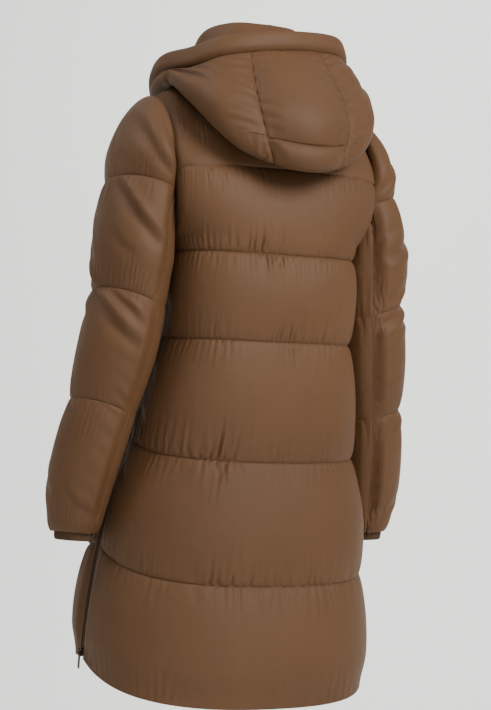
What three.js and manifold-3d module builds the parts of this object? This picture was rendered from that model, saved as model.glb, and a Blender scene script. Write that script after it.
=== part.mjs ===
// A hooded down coat with raised quilting, worn and zipped up, standing open at neck, cuffs and hem.
// Millimetres, +Z up. +X is the wearer's left and -Y is the front. The origin lies between the
// shoulders, level with the points where the shoulder seams meet the collar.
import * as THREE from "three";
import Module from "manifold-3d";

// ---------------------------------------------------------------- driving sizes
const SEAM_WALL = 4; // thickness of the quilt where it is stitched down
const SEAM_GAP = 0.3; // between two pieces that are sewn together
const LOFT = { body: 13, yoke: 8, sleeve: 10, hood: 11, brim: 12, collar: 5 }; // down above the seams
const FULL_BAFFLE = 110; // a channel this high or higher is filled to its whole loft
const PUCKER = 2.6; // depth of the gathers beside a quilting line
const UNDERARM = 4.18; // where the armhole starts, counted in quilting lines from the hem
const TOP = 6; // the shoulder seams and the neck seam, counted the same way
const ZIP = { tape: 5.6, sideTape: 4.8, wall: 1.4, coil: 2.8, sunk: 1, sideLength: 233, slider: 9 };
const PULL = { pin: 0.75, stand: 4.3, leg: 1.3, tab: 3, neck: 6, length: 27 };
const CUFF_WALL = 2.5;

// The inner cuff: how far each ring lies above the sleeve's end, and inside the sleeve.
const CUFF = [
  { up: 22, inside: 2.1 },
  { up: 8, inside: 4 },
  { up: 0, inside: 6 },
  { up: -10, inside: 7.5 },
];

// Quilting lines of the body, hem first: their height at the centre back, at each side and in front.
const QUILT_LINES = [
  { line: 0, back: -942, left: -870, right: -876, front: -862 },
  { line: 1, back: -763, left: -698, right: -714, front: -706 },
  { line: 2, back: -580, left: -540, right: -542, front: -548 },
  { line: 3, back: -402, left: -386, right: -386, front: -392 },
  { line: 4, back: -274, left: -257, right: -258, front: -266 },
  { line: 5, back: -146, left: -134, right: -138, front: -152 },
];
const RISE = { back: 2.6, front: 2 }; // how late a line rises towards the side seam

// The hollow inside of the body at each height: half its width, the place of its side seams, its
// reach to the back and to the front, and how square it is.
const BODY = [
  { z: -945, half: 222, side: -126, back: 74, front: -236, square: 2.3 },
  { z: -810, half: 219, side: -110, back: 76, front: -228, square: 2.3 },
  { z: -640, half: 196, side: -84, back: 80, front: -206, square: 2.7 },
  { z: -540, half: 169, side: -64, back: 88, front: -186, square: 3.1 },
  { z: -450, half: 151, side: -40, back: 100, front: -164, square: 3.3 },
  { z: -350, half: 138, side: -16, back: 116, front: -142, square: 3.3 },
  { z: -256, half: 138, side: 0, back: 124, front: -128, square: 3.1 },
  { z: -136, half: 150, side: 2, back: 118, front: -102, square: 2.6 },
  { z: -60, half: 150, side: 2, back: 100, front: -92, square: 2.4 },
];

// The left armhole, round from the underarm over the back, the shoulder and the front.
const ARMHOLE = [
  { turn: 0, x: 140, y: 3, z: -232 },
  { turn: 45, x: 153, y: 60, z: -205 },
  { turn: 90, x: 166, y: 80, z: -140 },
  { turn: 135, x: 172, y: 50, z: -66 },
  { turn: 180, x: 170, y: -4, z: -36 },
  { turn: 225, x: 168, y: -52, z: -68 },
  { turn: 270, x: 158, y: -72, z: -140 },
  { turn: 315, x: 151, y: -50, z: -205 },
  { turn: 360, x: 140, y: 3, z: -232 },
];

// The neck seam, from the centre back round the left side to the front.
const NECKLINE = [
  { turn: 0, x: 0, y: 78, z: 6 },
  { turn: 45, x: 62, y: 57, z: 5 },
  { turn: 90, x: 88, y: 2, z: 0 },
  { turn: 135, x: 64, y: -62, z: -30 },
  { turn: 180, x: 0, y: -94, z: -66 },
];

// The hollow inside of the left sleeve below the underarm, and its quilting lines.
const SLEEVE = [
  { z: -275, x: 201, y: 10, half: 48, deep: 64, tip: 1 },
  { z: -390, x: 212, y: -7, half: 46, deep: 58, tip: 1 },
  { z: -490, x: 230, y: -32, half: 43, deep: 50, tip: 1 },
  { z: -610, x: 249, y: -68, half: 38, deep: 42, tip: 0.7 },
  { z: -684, x: 254, y: -88, half: 34, deep: 38, tip: 0.2 },
];
const SLEEVE_LINES = [-680, -492, -332]; // cuff seam, forearm line, upper arm line
const SLEEVE_LEAN = { out: 0.18, ahead: 0.24 }; // how far a ring tips up outwards and forwards
const SLEEVE_SEAM = 65; // the two lengthwise seams lie this many degrees either side of the underarm
const CAP_TOP = 150; // the sleeve head is eased flat between this turn and its mirror
const CAP_REACH = 0.61; // how far the sleeve head carries on outwards before it falls

// The hood lies open on the back. Each row is a line down it, from the centre back to the throat.
const HOOD = {
  rim: [
    { turn: 0, x: 0, y: 112, z: 64 },
    { turn: 45, x: 90, y: 90, z: 60 },
    { turn: 68, x: 122, y: 50, z: 48 },
    { turn: 90, x: 136, y: -8, z: 44 },
    { turn: 110, x: 128, y: -52, z: 29 },
    { turn: 135, x: 100, y: -92, z: 4 },
    { turn: 170, x: 22, y: -122, z: -16 },
  ],
  band: [
    { turn: 0, x: 0, y: 120, z: 34 },
    { turn: 45, x: 95, y: 98, z: 30 },
    { turn: 68, x: 130, y: 54, z: 18 },
    { turn: 90, x: 143, y: -6, z: 20 },
    { turn: 110, x: 135, y: -52, z: 8 },
    { turn: 135, x: 104, y: -92, z: -20 },
    { turn: 170, x: 24, y: -122, z: -46 },
  ],
  belly: [
    { turn: 0, x: 0, y: 202, z: -90 },
    { turn: 45, x: 118, y: 142, z: -62 },
    { turn: 68, x: 142, y: 78, z: -24 },
    { turn: 90, x: 141, y: 10, z: 6 },
    { turn: 110, x: 133, y: -40, z: -5 },
    { turn: 135, x: 101, y: -89, z: -25 },
    { turn: 170, x: 24, y: -118, z: -51 },
  ],
  foot: [
    { turn: 0, x: 0, y: 186, z: -157 },
    { turn: 45, x: 88, y: 150, z: -124 },
    { turn: 68, x: 134, y: 88, z: -48 },
    { turn: 90, x: 130, y: 18, z: 8 },
    { turn: 110, x: 122, y: -36, z: -3 },
    { turn: 135, x: 94, y: -84, z: -26 },
    { turn: 170, x: 22, y: -113, z: -54 },
  ],
  lap: [
    { turn: 0, x: 0, y: 148, z: -88 },
    { turn: 45, x: 84, y: 116, z: -44 },
    { turn: 68, x: 112, y: 62, z: -2 },
    { turn: 90, x: 114, y: 8, z: 10 },
    { turn: 110, x: 106, y: -32, z: 0 },
    { turn: 135, x: 82, y: -76, z: -22 },
    { turn: 170, x: 19, y: -108, z: -54 },
  ],
  neck: [
    { turn: 0, x: 0, y: 88, z: 12.5 },
    { turn: 45, x: 69, y: 64, z: 12 },
    { turn: 68, x: 90, y: 34, z: 10.8 },
    { turn: 90, x: 97, y: 2, z: 8 },
    { turn: 135, x: 71, y: -68, z: -22.5 },
    { turn: 170, x: 16, y: -103, z: -55.5 },
  ],
};
const HOOD_SLANT = 0.11; // it hangs lower on the left, by this share of the way out from the middle
const HOOD_CENTRE = { brim: 27, foot: 26 }; // half of the centre panel, in turns
const HOOD_LINE = 0.53; // its quilting line, as a share of the way from brim to neck

// ---------------------------------------------------------------- small mathematics
const DEG = Math.PI / 180;
const lerp = (a, b, t) => a + (b - a) * t;
const clamp = (t) => Math.min(1, Math.max(0, t));
const ease = (t) => clamp(t) ** 2 * (3 - 2 * clamp(t));
const vec = (x, y, z) => new THREE.Vector3(x, y, z);
const mirror = (p) => vec(-p.x, p.y, p.z);

function hermite(p0, m0, p1, m1, t) {
  const [t2, t3] = [t * t, t * t * t];
  return (2 * t3 - 3 * t2 + 1) * p0 + (t3 - 2 * t2 + t) * m0 + (3 * t2 - 2 * t3) * p1 + (t3 - t2) * m1;
}

// The value of a table's column where its key column reads t, on a smooth curve through the rows.
function read(table, key, column, t) {
  const last = table.length - 1;
  const sign = Math.sign(table[last][key] - table[0][key]);
  let i = 1;
  while (i < last && (t - table[i][key]) * sign > 0) i++;
  const slope = (lo, hi) => (table[hi][column] - table[lo][column]) / (table[hi][key] - table[lo][key]);
  const span = table[i][key] - table[i - 1][key];
  const m0 = slope(Math.max(0, i - 2), i) * span;
  const m1 = slope(i - 1, Math.min(last, i + 1)) * span;
  const share = clamp((t - table[i - 1][key]) / span);
  return hermite(table[i - 1][column], m0, table[i][column], m1, share);
}

const readPoint = (table, key, t) => vec(...["x", "y", "z"].map((c) => read(table, key, c, t)));

// A curve through two points with a direction at each.
function bend(p0, m0, p1, m1, t) {
  return vec(...["x", "y", "z"].map((c) => hermite(p0[c], m0[c], p1[c], m1[c], t)));
}

// Uneven but repeatable: a number between -1 and 1 for a gather.
function uneven(a, b) {
  const s = Math.sin(a * 12.9898 + b * 78.233) * 43758.5453;
  return 2 * (s - Math.floor(s)) - 1;
}

// ---------------------------------------------------------------- walls of cloth
// Rows of a quilted piece: every quilting line, and stations between them that round the channel.
const CHANNEL = [0, 0.07, 0.22, 0.42, 0.62, 0.81, 0.94];
function channelRows(lines, stations = CHANNEL) {
  const rows = [];
  for (let i = 0; i < lines.length - 1; i++) {
    for (const f of stations) rows.push(lerp(lines[i], lines[i + 1], f));
  }
  return [...rows, lines.at(-1)];
}

const spread = (from, to, count) => Array.from({ length: count + 1 }, (_, i) => lerp(from, to, i / count));

// The rounded shape of the down between two stitched lines, 0 on a line and 1 in the middle.
const puff = (f) => Math.sin(Math.PI * clamp(f)) ** 0.62;

// How strongly the cloth is gathered at f of the way between two lines: most a little way from each.
const gathers = (f, away) => Math.exp(-((Math.min(f, 1 - f) - away) ** 2) / 0.006);

// Moves the four edges of a grid of points inwards, so that sewn pieces stay a gap apart.
function inset(grid, amount) {
  const [rows, cols] = [grid.length, grid[0].length];
  const copy = grid.map((row) => row.map((p) => p.clone()));
  const shift = (r, c, towardR, towardC, size) => {
    const step = copy[towardR][towardC].clone().sub(copy[r][c]);
    if (size > 0) grid[r][c].addScaledVector(step.normalize(), size);
  };
  for (let r = 0; r < rows; r++) {
    shift(r, 0, r, 1, amount.start(r));
    shift(r, cols - 1, r, cols - 2, amount.end(r));
  }
  for (let c = 0; c < cols; c++) {
    shift(0, c, 1, c, amount.foot);
    shift(rows - 1, c, rows - 2, c, amount.head);
  }
}

// Joins two edges that run side by side, each a list of point numbers, by the shorter diagonals.
function stitch(faces, points, a, b) {
  const apart = (i, j) => points[a[i]].distanceTo(points[b[j]]);
  let [i, j] = [0, 0];
  while (i < a.length - 1 || j < b.length - 1) {
    const onA = j === b.length - 1 || (i < a.length - 1 && apart(i + 1, j) < apart(i, j + 1));
    if (onA) faces.push(b[j], a[i], a[++i]);
    else faces.push(a[i], b[j + 1], b[j++]);
  }
}

// A closed wall between an inner and an outer grid, which may be finer than the inner one.
function closeWall(inner, outer) {
  const points = [];
  const faces = [];
  const number = (grid) => grid.map((row) => row.map((p) => points.push(p) - 1));
  const [a, b] = [number(inner), number(outer)];
  const fill = (g, flip) => {
    for (let r = 0; r < g.length - 1; r++) {
      for (let c = 0; c < g[0].length - 1; c++) {
        const quad = [g[r][c], g[r][c + 1], g[r + 1][c + 1], g[r + 1][c]];
        if (flip) quad.reverse();
        const apart = (i, j) => points[quad[i]].distanceTo(points[quad[j]]);
        if (apart(0, 2) <= apart(1, 3)) faces.push(quad[0], quad[1], quad[2], quad[0], quad[2], quad[3]);
        else faces.push(quad[1], quad[2], quad[3], quad[1], quad[3], quad[0]);
      }
    }
  };
  fill(a, true);
  fill(b, false);
  const edges = (g) => {
    const [foot, head] = [g[0], [...g.at(-1)].reverse()];
    return [foot, g.map((row) => row.at(-1)), head, g.map((row) => row[0]).reverse()];
  };
  const [ea, eb] = [edges(a), edges(b)];
  ea.forEach((edge, i) => stitch(faces, points, edge, eb[i]));
  return solid(points, faces);
}

// A closed tube between an inner and an outer stack of rings.
function closeTube(inner, outer) {
  const points = [];
  const faces = [];
  const number = (stack) => stack.map((ring) => ring.map((p) => points.push(p) - 1));
  const [a, b] = [number(inner), number(outer)];
  const band = (lo, hi) => {
    lo.forEach((p, i) => {
      const k = (i + 1) % lo.length;
      faces.push(p, lo[k], hi[k], p, hi[k], hi[i]);
    });
  };
  for (let r = 0; r < b.length - 1; r++) band(b[r], b[r + 1]);
  for (let r = 0; r < a.length - 1; r++) band(a[r + 1], a[r]);
  band(a[0], b[0]);
  band(b.at(-1), a.at(-1));
  return solid(points, faces);
}

// A geometry from points and faces, with its faces turned outwards.
function solid(points, faces) {
  let volume = 0;
  for (let i = 0; i < faces.length; i += 3) {
    const [p, q, r] = [points[faces[i]], points[faces[i + 1]], points[faces[i + 2]]];
    volume += p.dot(q.clone().cross(r));
  }
  if (volume < 0) faces.reverse();
  const geometry = new THREE.BufferGeometry();
  const numbers = points.flatMap((p) => [p.x, p.y, p.z]);
  geometry.setAttribute("position", new THREE.Float32BufferAttribute(numbers, 3));
  geometry.setIndex(faces);
  geometry.computeVertexNormals();
  return geometry;
}

// The outward direction of a surface at(u, v), taken across a small step that stays within its range.
function normalOf(at, u, v, range, outward) {
  const [du, dv] = [0.01 * (range.u[1] - range.u[0]), 0.01 * (range.v[1] - range.v[0])];
  const hold = (value, [a, b]) => Math.min(Math.max(a, b), Math.max(Math.min(a, b), value));
  const [u0, u1] = [hold(u - du, range.u), hold(u + du, range.u)];
  const [v0, v1] = [hold(v - dv, range.v), hold(v + dv, range.v)];
  const across = at(u1, v).sub(at(u0, v));
  const upward = at(u, v1).sub(at(u, v0));
  return across.cross(upward).normalize().multiplyScalar(outward);
}

// A quilted piece: a plain inside at(u, v) and an outside raised from it by rise(u, v, column).
function quilt({ at, rise, columns, rows, innerColumns, innerRows, direction, outward, gaps }) {
  const range = { u: [columns[0], columns.at(-1)], v: [rows[0], rows.at(-1)] };
  const side = outward ?? 1;
  const edge = (value) => (typeof value === "function" ? value : () => value);
  const grid = (us, vs, raised) => {
    const feet = vs.map((v) => us.map((u) => at(u, v)));
    inset(feet, {
      start: (r) => edge(gaps.start)(vs[r]),
      end: (r) => edge(gaps.end)(vs[r]),
      foot: gaps.foot,
      head: gaps.head,
    });
    return feet.map((row, r) =>
      row.map((p, c) => {
        if (!raised) return p;
        const normal = normalOf(at, us[c], vs[r], range, side);
        if (direction) direction(us[c], vs[r], normal);
        return p.addScaledVector(normal, rise(us[c], vs[r], c));
      }),
    );
  };
  return closeWall(grid(innerColumns, innerRows, false), grid(columns, rows, true));
}

// ---------------------------------------------------------------- the body
const armhole = (turn) => readPoint(ARMHOLE, "turn", ((turn % 360) + 360) % 360);
const neck = (turn) => readPoint(NECKLINE, "turn", turn);
const ring = (column, z) => read(BODY, "z", column, z);

// Height of a quilting line: across is 0 at the centre back or front and 1 at the side seam.
function lineHeight(line, part, across, side) {
  const middle = read(QUILT_LINES, "line", part, line);
  const edge = read(QUILT_LINES, "line", side, line);
  return lerp(middle, edge, Math.abs(across) ** RISE[part]);
}

// The inside of the body. turn runs from 0 at the centre back or front to 1 at the left side and -1
// at the right; line runs from the hem to the shoulders.
function bodyPoint(part, turn, line) {
  const side = turn >= 0 ? "left" : "right";
  const share = Math.abs(turn);
  const up = clamp((line - UNDERARM) / (TOP - UNDERARM));
  const low = Math.min(line, 5.4);
  let z = lineHeight(low, part, share, side);
  const wide = read(QUILT_LINES, "line", side, low);
  const edge = vec(ring("half", wide), ring("side", wide), wide);
  const hole = armhole(part === "back" ? 180 * up : 360 - 180 * up);
  edge.lerp(hole, ease((line - UNDERARM + 0.8) / 0.8));
  const reach = ring(part, lineHeight(low, part, 0, side));
  const middle = vec(0, reach, z);
  if (line > UNDERARM) {
    const own = read(QUILT_LINES, "line", part, low);
    z = lerp(own, edge.z, share ** RISE[part]);
  }
  const power = ring("square", z);
  const theta = share * 90 * DEG;
  const round = (Math.sin(theta) ** power + Math.cos(theta) ** power) ** (-1 / power);
  const x = edge.x * round * Math.sin(theta);
  const y = edge.y + (middle.y - edge.y) * round * Math.cos(theta);
  const point = vec(x, y, z);
  if (line > 5) {
    const turned = part === "back" ? share * 180 : 180 - share * 180;
    const seam = share < 0.5 ? neck(turned) : shoulder(share * 2 - 1);
    point.lerp(seam, ease(line - 5) * 0.55 + (line - 5) * 0.45);
  }
  return turn >= 0 ? point : mirror(point);
}

// The shoulder seam from the neck to the armhole, bowed up a little.
function shoulder(share) {
  const point = neck(90).lerp(armhole(180), share);
  point.z += 4 * Math.sin(Math.PI * share);
  return point;
}

// How high the down stands above the body's inside.
function bodyRise(turn, line, column) {
  const channel = Math.min(5, Math.floor(line + 1e-6));
  const f = line - channel;
  const loft = channel === 5 ? LOFT.yoke : LOFT.body;
  const inward = 1 - Math.abs(turn);
  const edge = ease(inward / 0.07) * lerp(channel < 3 ? 0.55 : 0.15, 1, ease(inward / 0.3));
  const gather = f > 1e-6 ? gathers(f, 0.07) * uneven(column, channel) * PUCKER : 0;
  const hem = channel === 0 ? ease(f / 0.3) : 1;
  return SEAM_WALL + (loft * puff(f) * lerp(0.35, 1, hem) + gather) * edge;
}

// At the shoulder seam both pieces are cut square to the seam, and at the neck upright.
function squareTop(part, turn, line, normal) {
  const side = Math.sign(turn);
  const ridge = Math.abs(turn) < 0.5 ? vec(0, 0, 1) : vec(0.4 * side, 0, 0.92);
  normal.lerp(ridge, ease((line - 5.5) / 0.5)).normalize();
  if (Math.abs(turn) < 0.999) return;
  const up = clamp((line - UNDERARM) / (TOP - UNDERARM));
  const round = part === "back" ? 180 * up : 360 - 180 * up;
  const away = (1 - Math.cos(round * DEG)) / 2;
  normal.copy(vec(1, 0, 0).lerp(armDirection(round), ease((away - 0.02) / 0.2))).normalize();
  normal.x *= side;
}

// Outwards from the armhole: the direction in which every edge sewn along it is cut.
function armDirection(turn) {
  const centre = vec(0, 4, -136);
  const point = armhole(turn).sub(centre);
  return vec(0.3, point.y / 78, point.z / 98).normalize();
}

const SIDE_ZIP = { top: 1.42, closed: 1.5 }; // in quilting lines
const inOrder = (rows) => [...new Set(rows)].sort((a, b) => a - b);
const bodyRows = inOrder([...channelRows([0, 1, 2, 3, 4, 5, 6]), SIDE_ZIP.closed]);
const bodyInnerRows = inOrder([...channelRows([0, 1, 2, 3, 4, 5, 6], [0, 0.5]), SIDE_ZIP.top]);

// Gap at a side seam: a seam's width, or room for the zip below its top.
function sideGap(line) {
  const closed = ease((line - SIDE_ZIP.top) / (SIDE_ZIP.closed - SIDE_ZIP.top));
  return lerp(ZIP.tape + SEAM_GAP, SEAM_GAP / 2, closed);
}

function backPanel() {
  return quilt({
    at: (u, v) => bodyPoint("back", u, v),
    rise: bodyRise,
    columns: spread(1, -1, 26),
    rows: bodyRows,
    innerColumns: spread(1, -1, 13),
    innerRows: bodyInnerRows,
    direction: (u, v, n) => squareTop("back", u, v, n),
    outward: 1,
    gaps: { start: sideGap, end: sideGap, foot: 0, head: SEAM_GAP / 2 },
  });
}

function frontPanel(side) {
  const sign = side === "left" ? 1 : -1;
  return quilt({
    at: (u, v) => bodyPoint("front", sign * u, v),
    rise: (u, v, c) => lerp(SEAM_WALL, bodyRise(u, v, c + 40 * sign), ease(u / 0.13)),
    columns: spread(0, 1, 13),
    rows: bodyRows,
    innerColumns: spread(0, 1, 7),
    innerRows: bodyInnerRows,
    direction: (u, v, n) => squareTop("front", sign * u, v, n),
    outward: sign,
    gaps: { start: ZIP.tape + SEAM_GAP, end: sideGap, foot: 0, head: SEAM_GAP / 2 },
  });
}

// ---------------------------------------------------------------- the sleeves
// How far a sleeve's edge is laid outside the body's edge: where the two turn back to back under the
// arm they lie on each other, and over the shoulder they meet edge to edge.
function sleeveStart(turn) {
  const under = (1 + Math.cos(turn * DEG)) / 2;
  const apart = (2 * SEAM_WALL + 2 * SEAM_GAP) * under ** 1.5;
  return armhole(turn).add(vec(apart + 2.6 * SEAM_GAP, 0, -0.2 * SEAM_GAP));
}

const sleeveCentre = (z) => vec(read(SLEEVE, "z", "x", z), read(SLEEVE, "z", "y", z), z);
function sleeveRing(turn, z) {
  const centre = sleeveCentre(z);
  centre.x -= read(SLEEVE, "z", "half", z) * Math.cos(turn * DEG);
  centre.y += read(SLEEVE, "z", "deep", z) * Math.sin(turn * DEG);
  const level = sleeveCentre(z);
  const tilt = SLEEVE_LEAN.out * (centre.x - level.x) - SLEEVE_LEAN.ahead * (centre.y - level.y);
  centre.z += tilt * read(SLEEVE, "z", "tip", z);
  return centre;
}

// A point of the sleeve's inside: turn as on the armhole, level falling from 3 at the armhole to 2 on
// the first whole ring and 0 at the cuff.
const SLEEVE_TOP = SLEEVE[0].z;
function sleevePoint(turn, level) {
  if (level <= 2) return sleeveRing(turn, sleeveHeight(level));
  const [from, to] = [sleeveStart(turn), sleeveRing(turn, SLEEVE_TOP)];
  const size = from.distanceTo(to);
  const under = (1 + Math.cos(turn * DEG)) / 2;
  const out = vec(0.95, 0, -0.3).lerp(vec(0.35, 0, -0.95), under).multiplyScalar(size * CAP_REACH);
  const down = vec(0.13, -0.12, -1).multiplyScalar(size);
  return bend(from, out, to, down, 3 - level);
}

const sleeveHeight = (level) => lerp(SLEEVE_LINES[0], SLEEVE_TOP, level / 2);
const sleeveLevel = (z) => (2 * (z - SLEEVE_LINES[0])) / (SLEEVE_TOP - SLEEVE_LINES[0]);

// The outer half of a sleeve, on which across runs from -1 on the back seam to 1 on the front seam and
// row from 0 at the cuff through its quilting lines to 4 at the head of the sleeve.
const OUTER_ROWS = [0, 1, 2, 3, 4];
function sleeveEdge(side, row) {
  const turn = side * SLEEVE_SEAM;
  if (row <= 2) return sleeveRing(turn, rowHeight(row));
  return row < 3 ? sleevePoint(turn, upperLevel(row)) : sleeveStart(side * capTurn(row));
}

// Above the upper arm line the lengthwise seams run on to the armhole and then follow it.
const upperLevel = (row) => lerp(sleeveLevel(SLEEVE_LINES[2]), 3, row - 2);
const capTurn = (row) => lerp(SLEEVE_SEAM, CAP_TOP, row - 3);

// The direction in which both halves of a sleeve are cut along their seams and at the armhole.
function sleeveEdgeDirection(turn, share) {
  const ring = vec(-Math.cos(turn * DEG) / 46, Math.sin(turn * DEG) / 55, 0).normalize();
  return ring.lerp(armDirection(turn), ease(share)).normalize();
}

function rowHeight(row) {
  const i = Math.min(1, Math.floor(row));
  return lerp(SLEEVE_LINES[i], SLEEVE_LINES[i + 1], row - i);
}

function sleeveCrown(row) {
  if (row <= 2) return sleeveRing(180, rowHeight(row));
  return sleevePoint(180, lerp(sleeveLevel(SLEEVE_LINES[2]), 3, ((row - 2) / 2) ** 0.94));
}

function outerSleevePoint(across, row) {
  const reach = 180 - SLEEVE_SEAM;
  const angle = Math.abs(across) * reach * DEG;
  const crown = sleeveCrown(row);
  const edge = sleeveEdge(across < 0 ? 1 : -1, row);
  const fx = (1 - Math.cos(angle)) / (1 - Math.cos(reach * DEG));
  const fy = Math.sin(angle) / Math.sin(reach * DEG);
  const fz = lerp(fx, across ** 2, 0.5);
  const point = vec(lerp(crown.x, edge.x, fx), lerp(crown.y, edge.y, fy), lerp(crown.z, edge.z, fz));
  const turn = (across < 0 ? 1 : -1) * lerp(180, CAP_TOP, Math.abs(across));
  return point.lerp(sleeveStart(turn), ease((row - 3.2) / 0.8));
}

function sleeveRise(lines, rows, edgeWidth, loft) {
  return (across, row, column) => {
    const channel = Math.min(rows - 1, Math.floor(row + 1e-6));
    const f = row - channel;
    const full = Math.min(1, (lines[channel + 1] - lines[channel]) / FULL_BAFFLE) ** 0.5;
    const gather = f > 1e-6 ? gathers(f, 0.07) * uneven(column + 3, channel + 9) * PUCKER : 0;
    const edge = ease((1 - Math.abs(across)) / edgeWidth);
    return SEAM_WALL + (loft * full * puff(f) + gather) * edge;
  };
}

function outerSleeve(flip) {
  const at = (u, v) => (flip ? mirror(outerSleevePoint(u, v)) : outerSleevePoint(u, v));
  return quilt({
    at,
    rise: sleeveRise([-680, -492, -332, -150, -80], 4, 0.2, LOFT.sleeve),
    columns: spread(-1, 1, 14),
    rows: channelRows(OUTER_ROWS),
    innerColumns: spread(-1, 1, 8),
    innerRows: channelRows(OUTER_ROWS, [0, 0.33, 0.66]),
    direction: (u, v, n) => {
      const side = u < 0 ? 1 : -1;
      const head = ease((v - 3.7) / 0.3);
      const top = side * lerp(180, CAP_TOP, Math.abs(u));
      const hole = side * (v < 3 ? SLEEVE_SEAM : capTurn(v));
      const away = sleeveEdgeDirection(lerp(hole, top, head), v - 2);
      if (flip) away.x *= -1;
      n.lerp(away, Math.max(Math.abs(u) > 0.999 ? 1 : 0, head)).normalize();
    },
    outward: flip ? 1 : -1,
    gaps: { start: SEAM_GAP / 2, end: SEAM_GAP / 2, foot: 0, head: SEAM_GAP },
  });
}

// The under half of a sleeve, next to the body, where the down is pressed flat.
function underSleevePoint(across, row) {
  const turn = -across * SLEEVE_SEAM;
  return row <= 2 ? sleeveRing(turn, rowHeight(row)) : sleevePoint(turn, upperLevel(row));
}

function underSleeve(flip) {
  const at = (u, v) => (flip ? mirror(underSleevePoint(u, v)) : underSleevePoint(u, v));
  return quilt({
    at,
    rise: sleeveRise([-680, -492, -332, -232], 3, 0.35, 1.5),
    columns: spread(-1, 1, 8),
    rows: channelRows([0, 1, 2, 3]),
    innerColumns: spread(-1, 1, 4),
    innerRows: channelRows([0, 1, 2, 3], [0, 0.33, 0.66]),
    direction: (u, v, n) => {
      const away = sleeveEdgeDirection(-u * SLEEVE_SEAM, v - 2);
      if (flip) away.x *= -1;
      n.lerp(away, Math.max(Math.abs(u) > 0.999 ? 1 : 0, ease((v - 2.85) / 0.15))).normalize();
    },
    outward: flip ? -1 : 1,
    gaps: { start: SEAM_GAP / 2, end: SEAM_GAP / 2, foot: 0, head: SEAM_GAP },
  });
}

// The inner storm cuff: a plain tube sewn inside the sleeve's end and showing below it.
function cuff(flip) {
  const rings = (wall) =>
    CUFF.map(({ up, inside }) =>
      Array.from({ length: 24 }, (_, i) => {
        const z = SLEEVE_LINES[0] + up;
        const [p, centre] = [sleeveRing(i * 15, Math.max(z, SLEEVE.at(-1).z)), sleeveCentre(z)];
        centre.z = p.z + Math.min(0, up);
        const out = p.clone().sub(centre).setZ(0);
        const share = (out.length() - inside - wall) / out.length();
        p.set(centre.x + out.x * share, centre.y + out.y * share, centre.z);
        return flip ? mirror(p) : p;
      }),
    );
  return closeTube(rings(CUFF_WALL), rings(0));
}

// ---------------------------------------------------------------- the hood and the collar
const HOOD_STEPS = [
  { at: 0, row: "rim" },
  { at: 0.16, row: "band" },
  { at: 0.45, row: "belly" },
  { at: 0.65, row: "foot" },
  { at: 0.82, row: "lap" },
  { at: 1, row: "neck" },
];

// The inside of the hood: turn from the centre back to the throat, down from the rim to the neck.
function hoodPoint(turn, down) {
  const share = Math.abs(turn);
  const path = HOOD_STEPS.map(({ at, row }) => ({ at, ...plain(readPoint(HOOD[row], "turn", share)) }));
  const point = readPoint(path, "at", down);
  if (turn < 0) point.x *= -1;
  const slant = HOOD_SLANT * lerp(1, 0.5, ease((share - 50) / 40));
  point.z -= slant * point.x * ease((0.5 - down) / 0.36);
  return point;
}

// The hood's own outward direction, which all of its pieces share.
function hoodFacing(turn, down, normal) {
  const range = { u: [-THROAT, THROAT], v: [0, 1] };
  normal.copy(normalOf(hoodPoint, turn, down, range, 1));
}
const plain = (p) => ({ x: p.x, y: p.y, z: p.z });

const BAND = 0.16;
const THROAT = 166;
// The seam between the centre panel and a side panel runs in slightly from the brim to the foot.
const hoodSeam = (down) => lerp(HOOD_CENTRE.brim, HOOD_CENTRE.foot, ease((down - BAND) / 0.5));

function hoodRise(loft, lines, edgeOf) {
  return (u, v, column) => {
    let i = 0;
    while (i < lines.length - 2 && v >= lines[i + 1] - 1e-6) i++;
    const f = (v - lines[i]) / (lines[i + 1] - lines[i]);
    const gathered = f > 1e-6 && v < 0.6;
    const gather = gathered ? gathers(f, 0.1) * uneven(column + 5, i + 2) * PUCKER : 0;
    const leg = lerp(1, 0.15, ease((v - 0.55) / 0.15));
    return SEAM_WALL + (loft * puff(f) * leg + gather) * edgeOf(u);
  };
}

const BRIM_TURNS = [
  ...spread(-THROAT, -HOOD_CENTRE.brim, 16).slice(0, -1),
  ...spread(-HOOD_CENTRE.brim, HOOD_CENTRE.brim, 8).slice(0, -1),
  ...spread(HOOD_CENTRE.brim, THROAT, 16),
];
const HOOD_FOOT = 0.65;
const hoodRows = channelRows([BAND, HOOD_LINE, HOOD_FOOT, 1], [0, 0.1, 0.3, 0.55, 0.8, 0.93]);
const hoodInnerRows = channelRows([BAND, HOOD_LINE, HOOD_FOOT, 1], [0, 0.5]);

function hoodBrim() {
  return quilt({
    at: (u, v) => hoodPoint(u, v),
    rise: (u, v, c) => {
      const f = v / BAND;
      const end = ease((THROAT - Math.abs(u)) / 10);
      return SEAM_WALL + LOFT.brim * puff(0.12 + 0.88 * f) * end + (f < 1 ? uneven(c, 4) : 0);
    },
    columns: BRIM_TURNS,
    rows: [0, 0.1, 0.3, 0.55, 0.8, 0.93, 1].map((f) => f * BAND),
    innerColumns: BRIM_TURNS.filter((_, i) => i % 2 === 0),
    innerRows: [0, BAND / 2, BAND],
    direction: hoodFacing,
    gaps: { start: 0, end: 0, foot: 0, head: SEAM_GAP / 2 },
  });
}

function hoodCentre() {
  return quilt({
    at: (u, v) => hoodPoint(u * hoodSeam(v), v),
    rise: hoodRise(LOFT.hood, [BAND, HOOD_LINE, HOOD_FOOT, 1], (u) => ease((1 - Math.abs(u)) / 0.4)),
    columns: spread(-1, 1, 8),
    rows: hoodRows,
    innerColumns: spread(-1, 1, 4),
    innerRows: hoodInnerRows,
    direction: (u, v, n) => hoodFacing(u * hoodSeam(v), v, n),
    gaps: { start: SEAM_GAP / 2, end: SEAM_GAP / 2, foot: SEAM_GAP / 2, head: 0 },
  });
}

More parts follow.
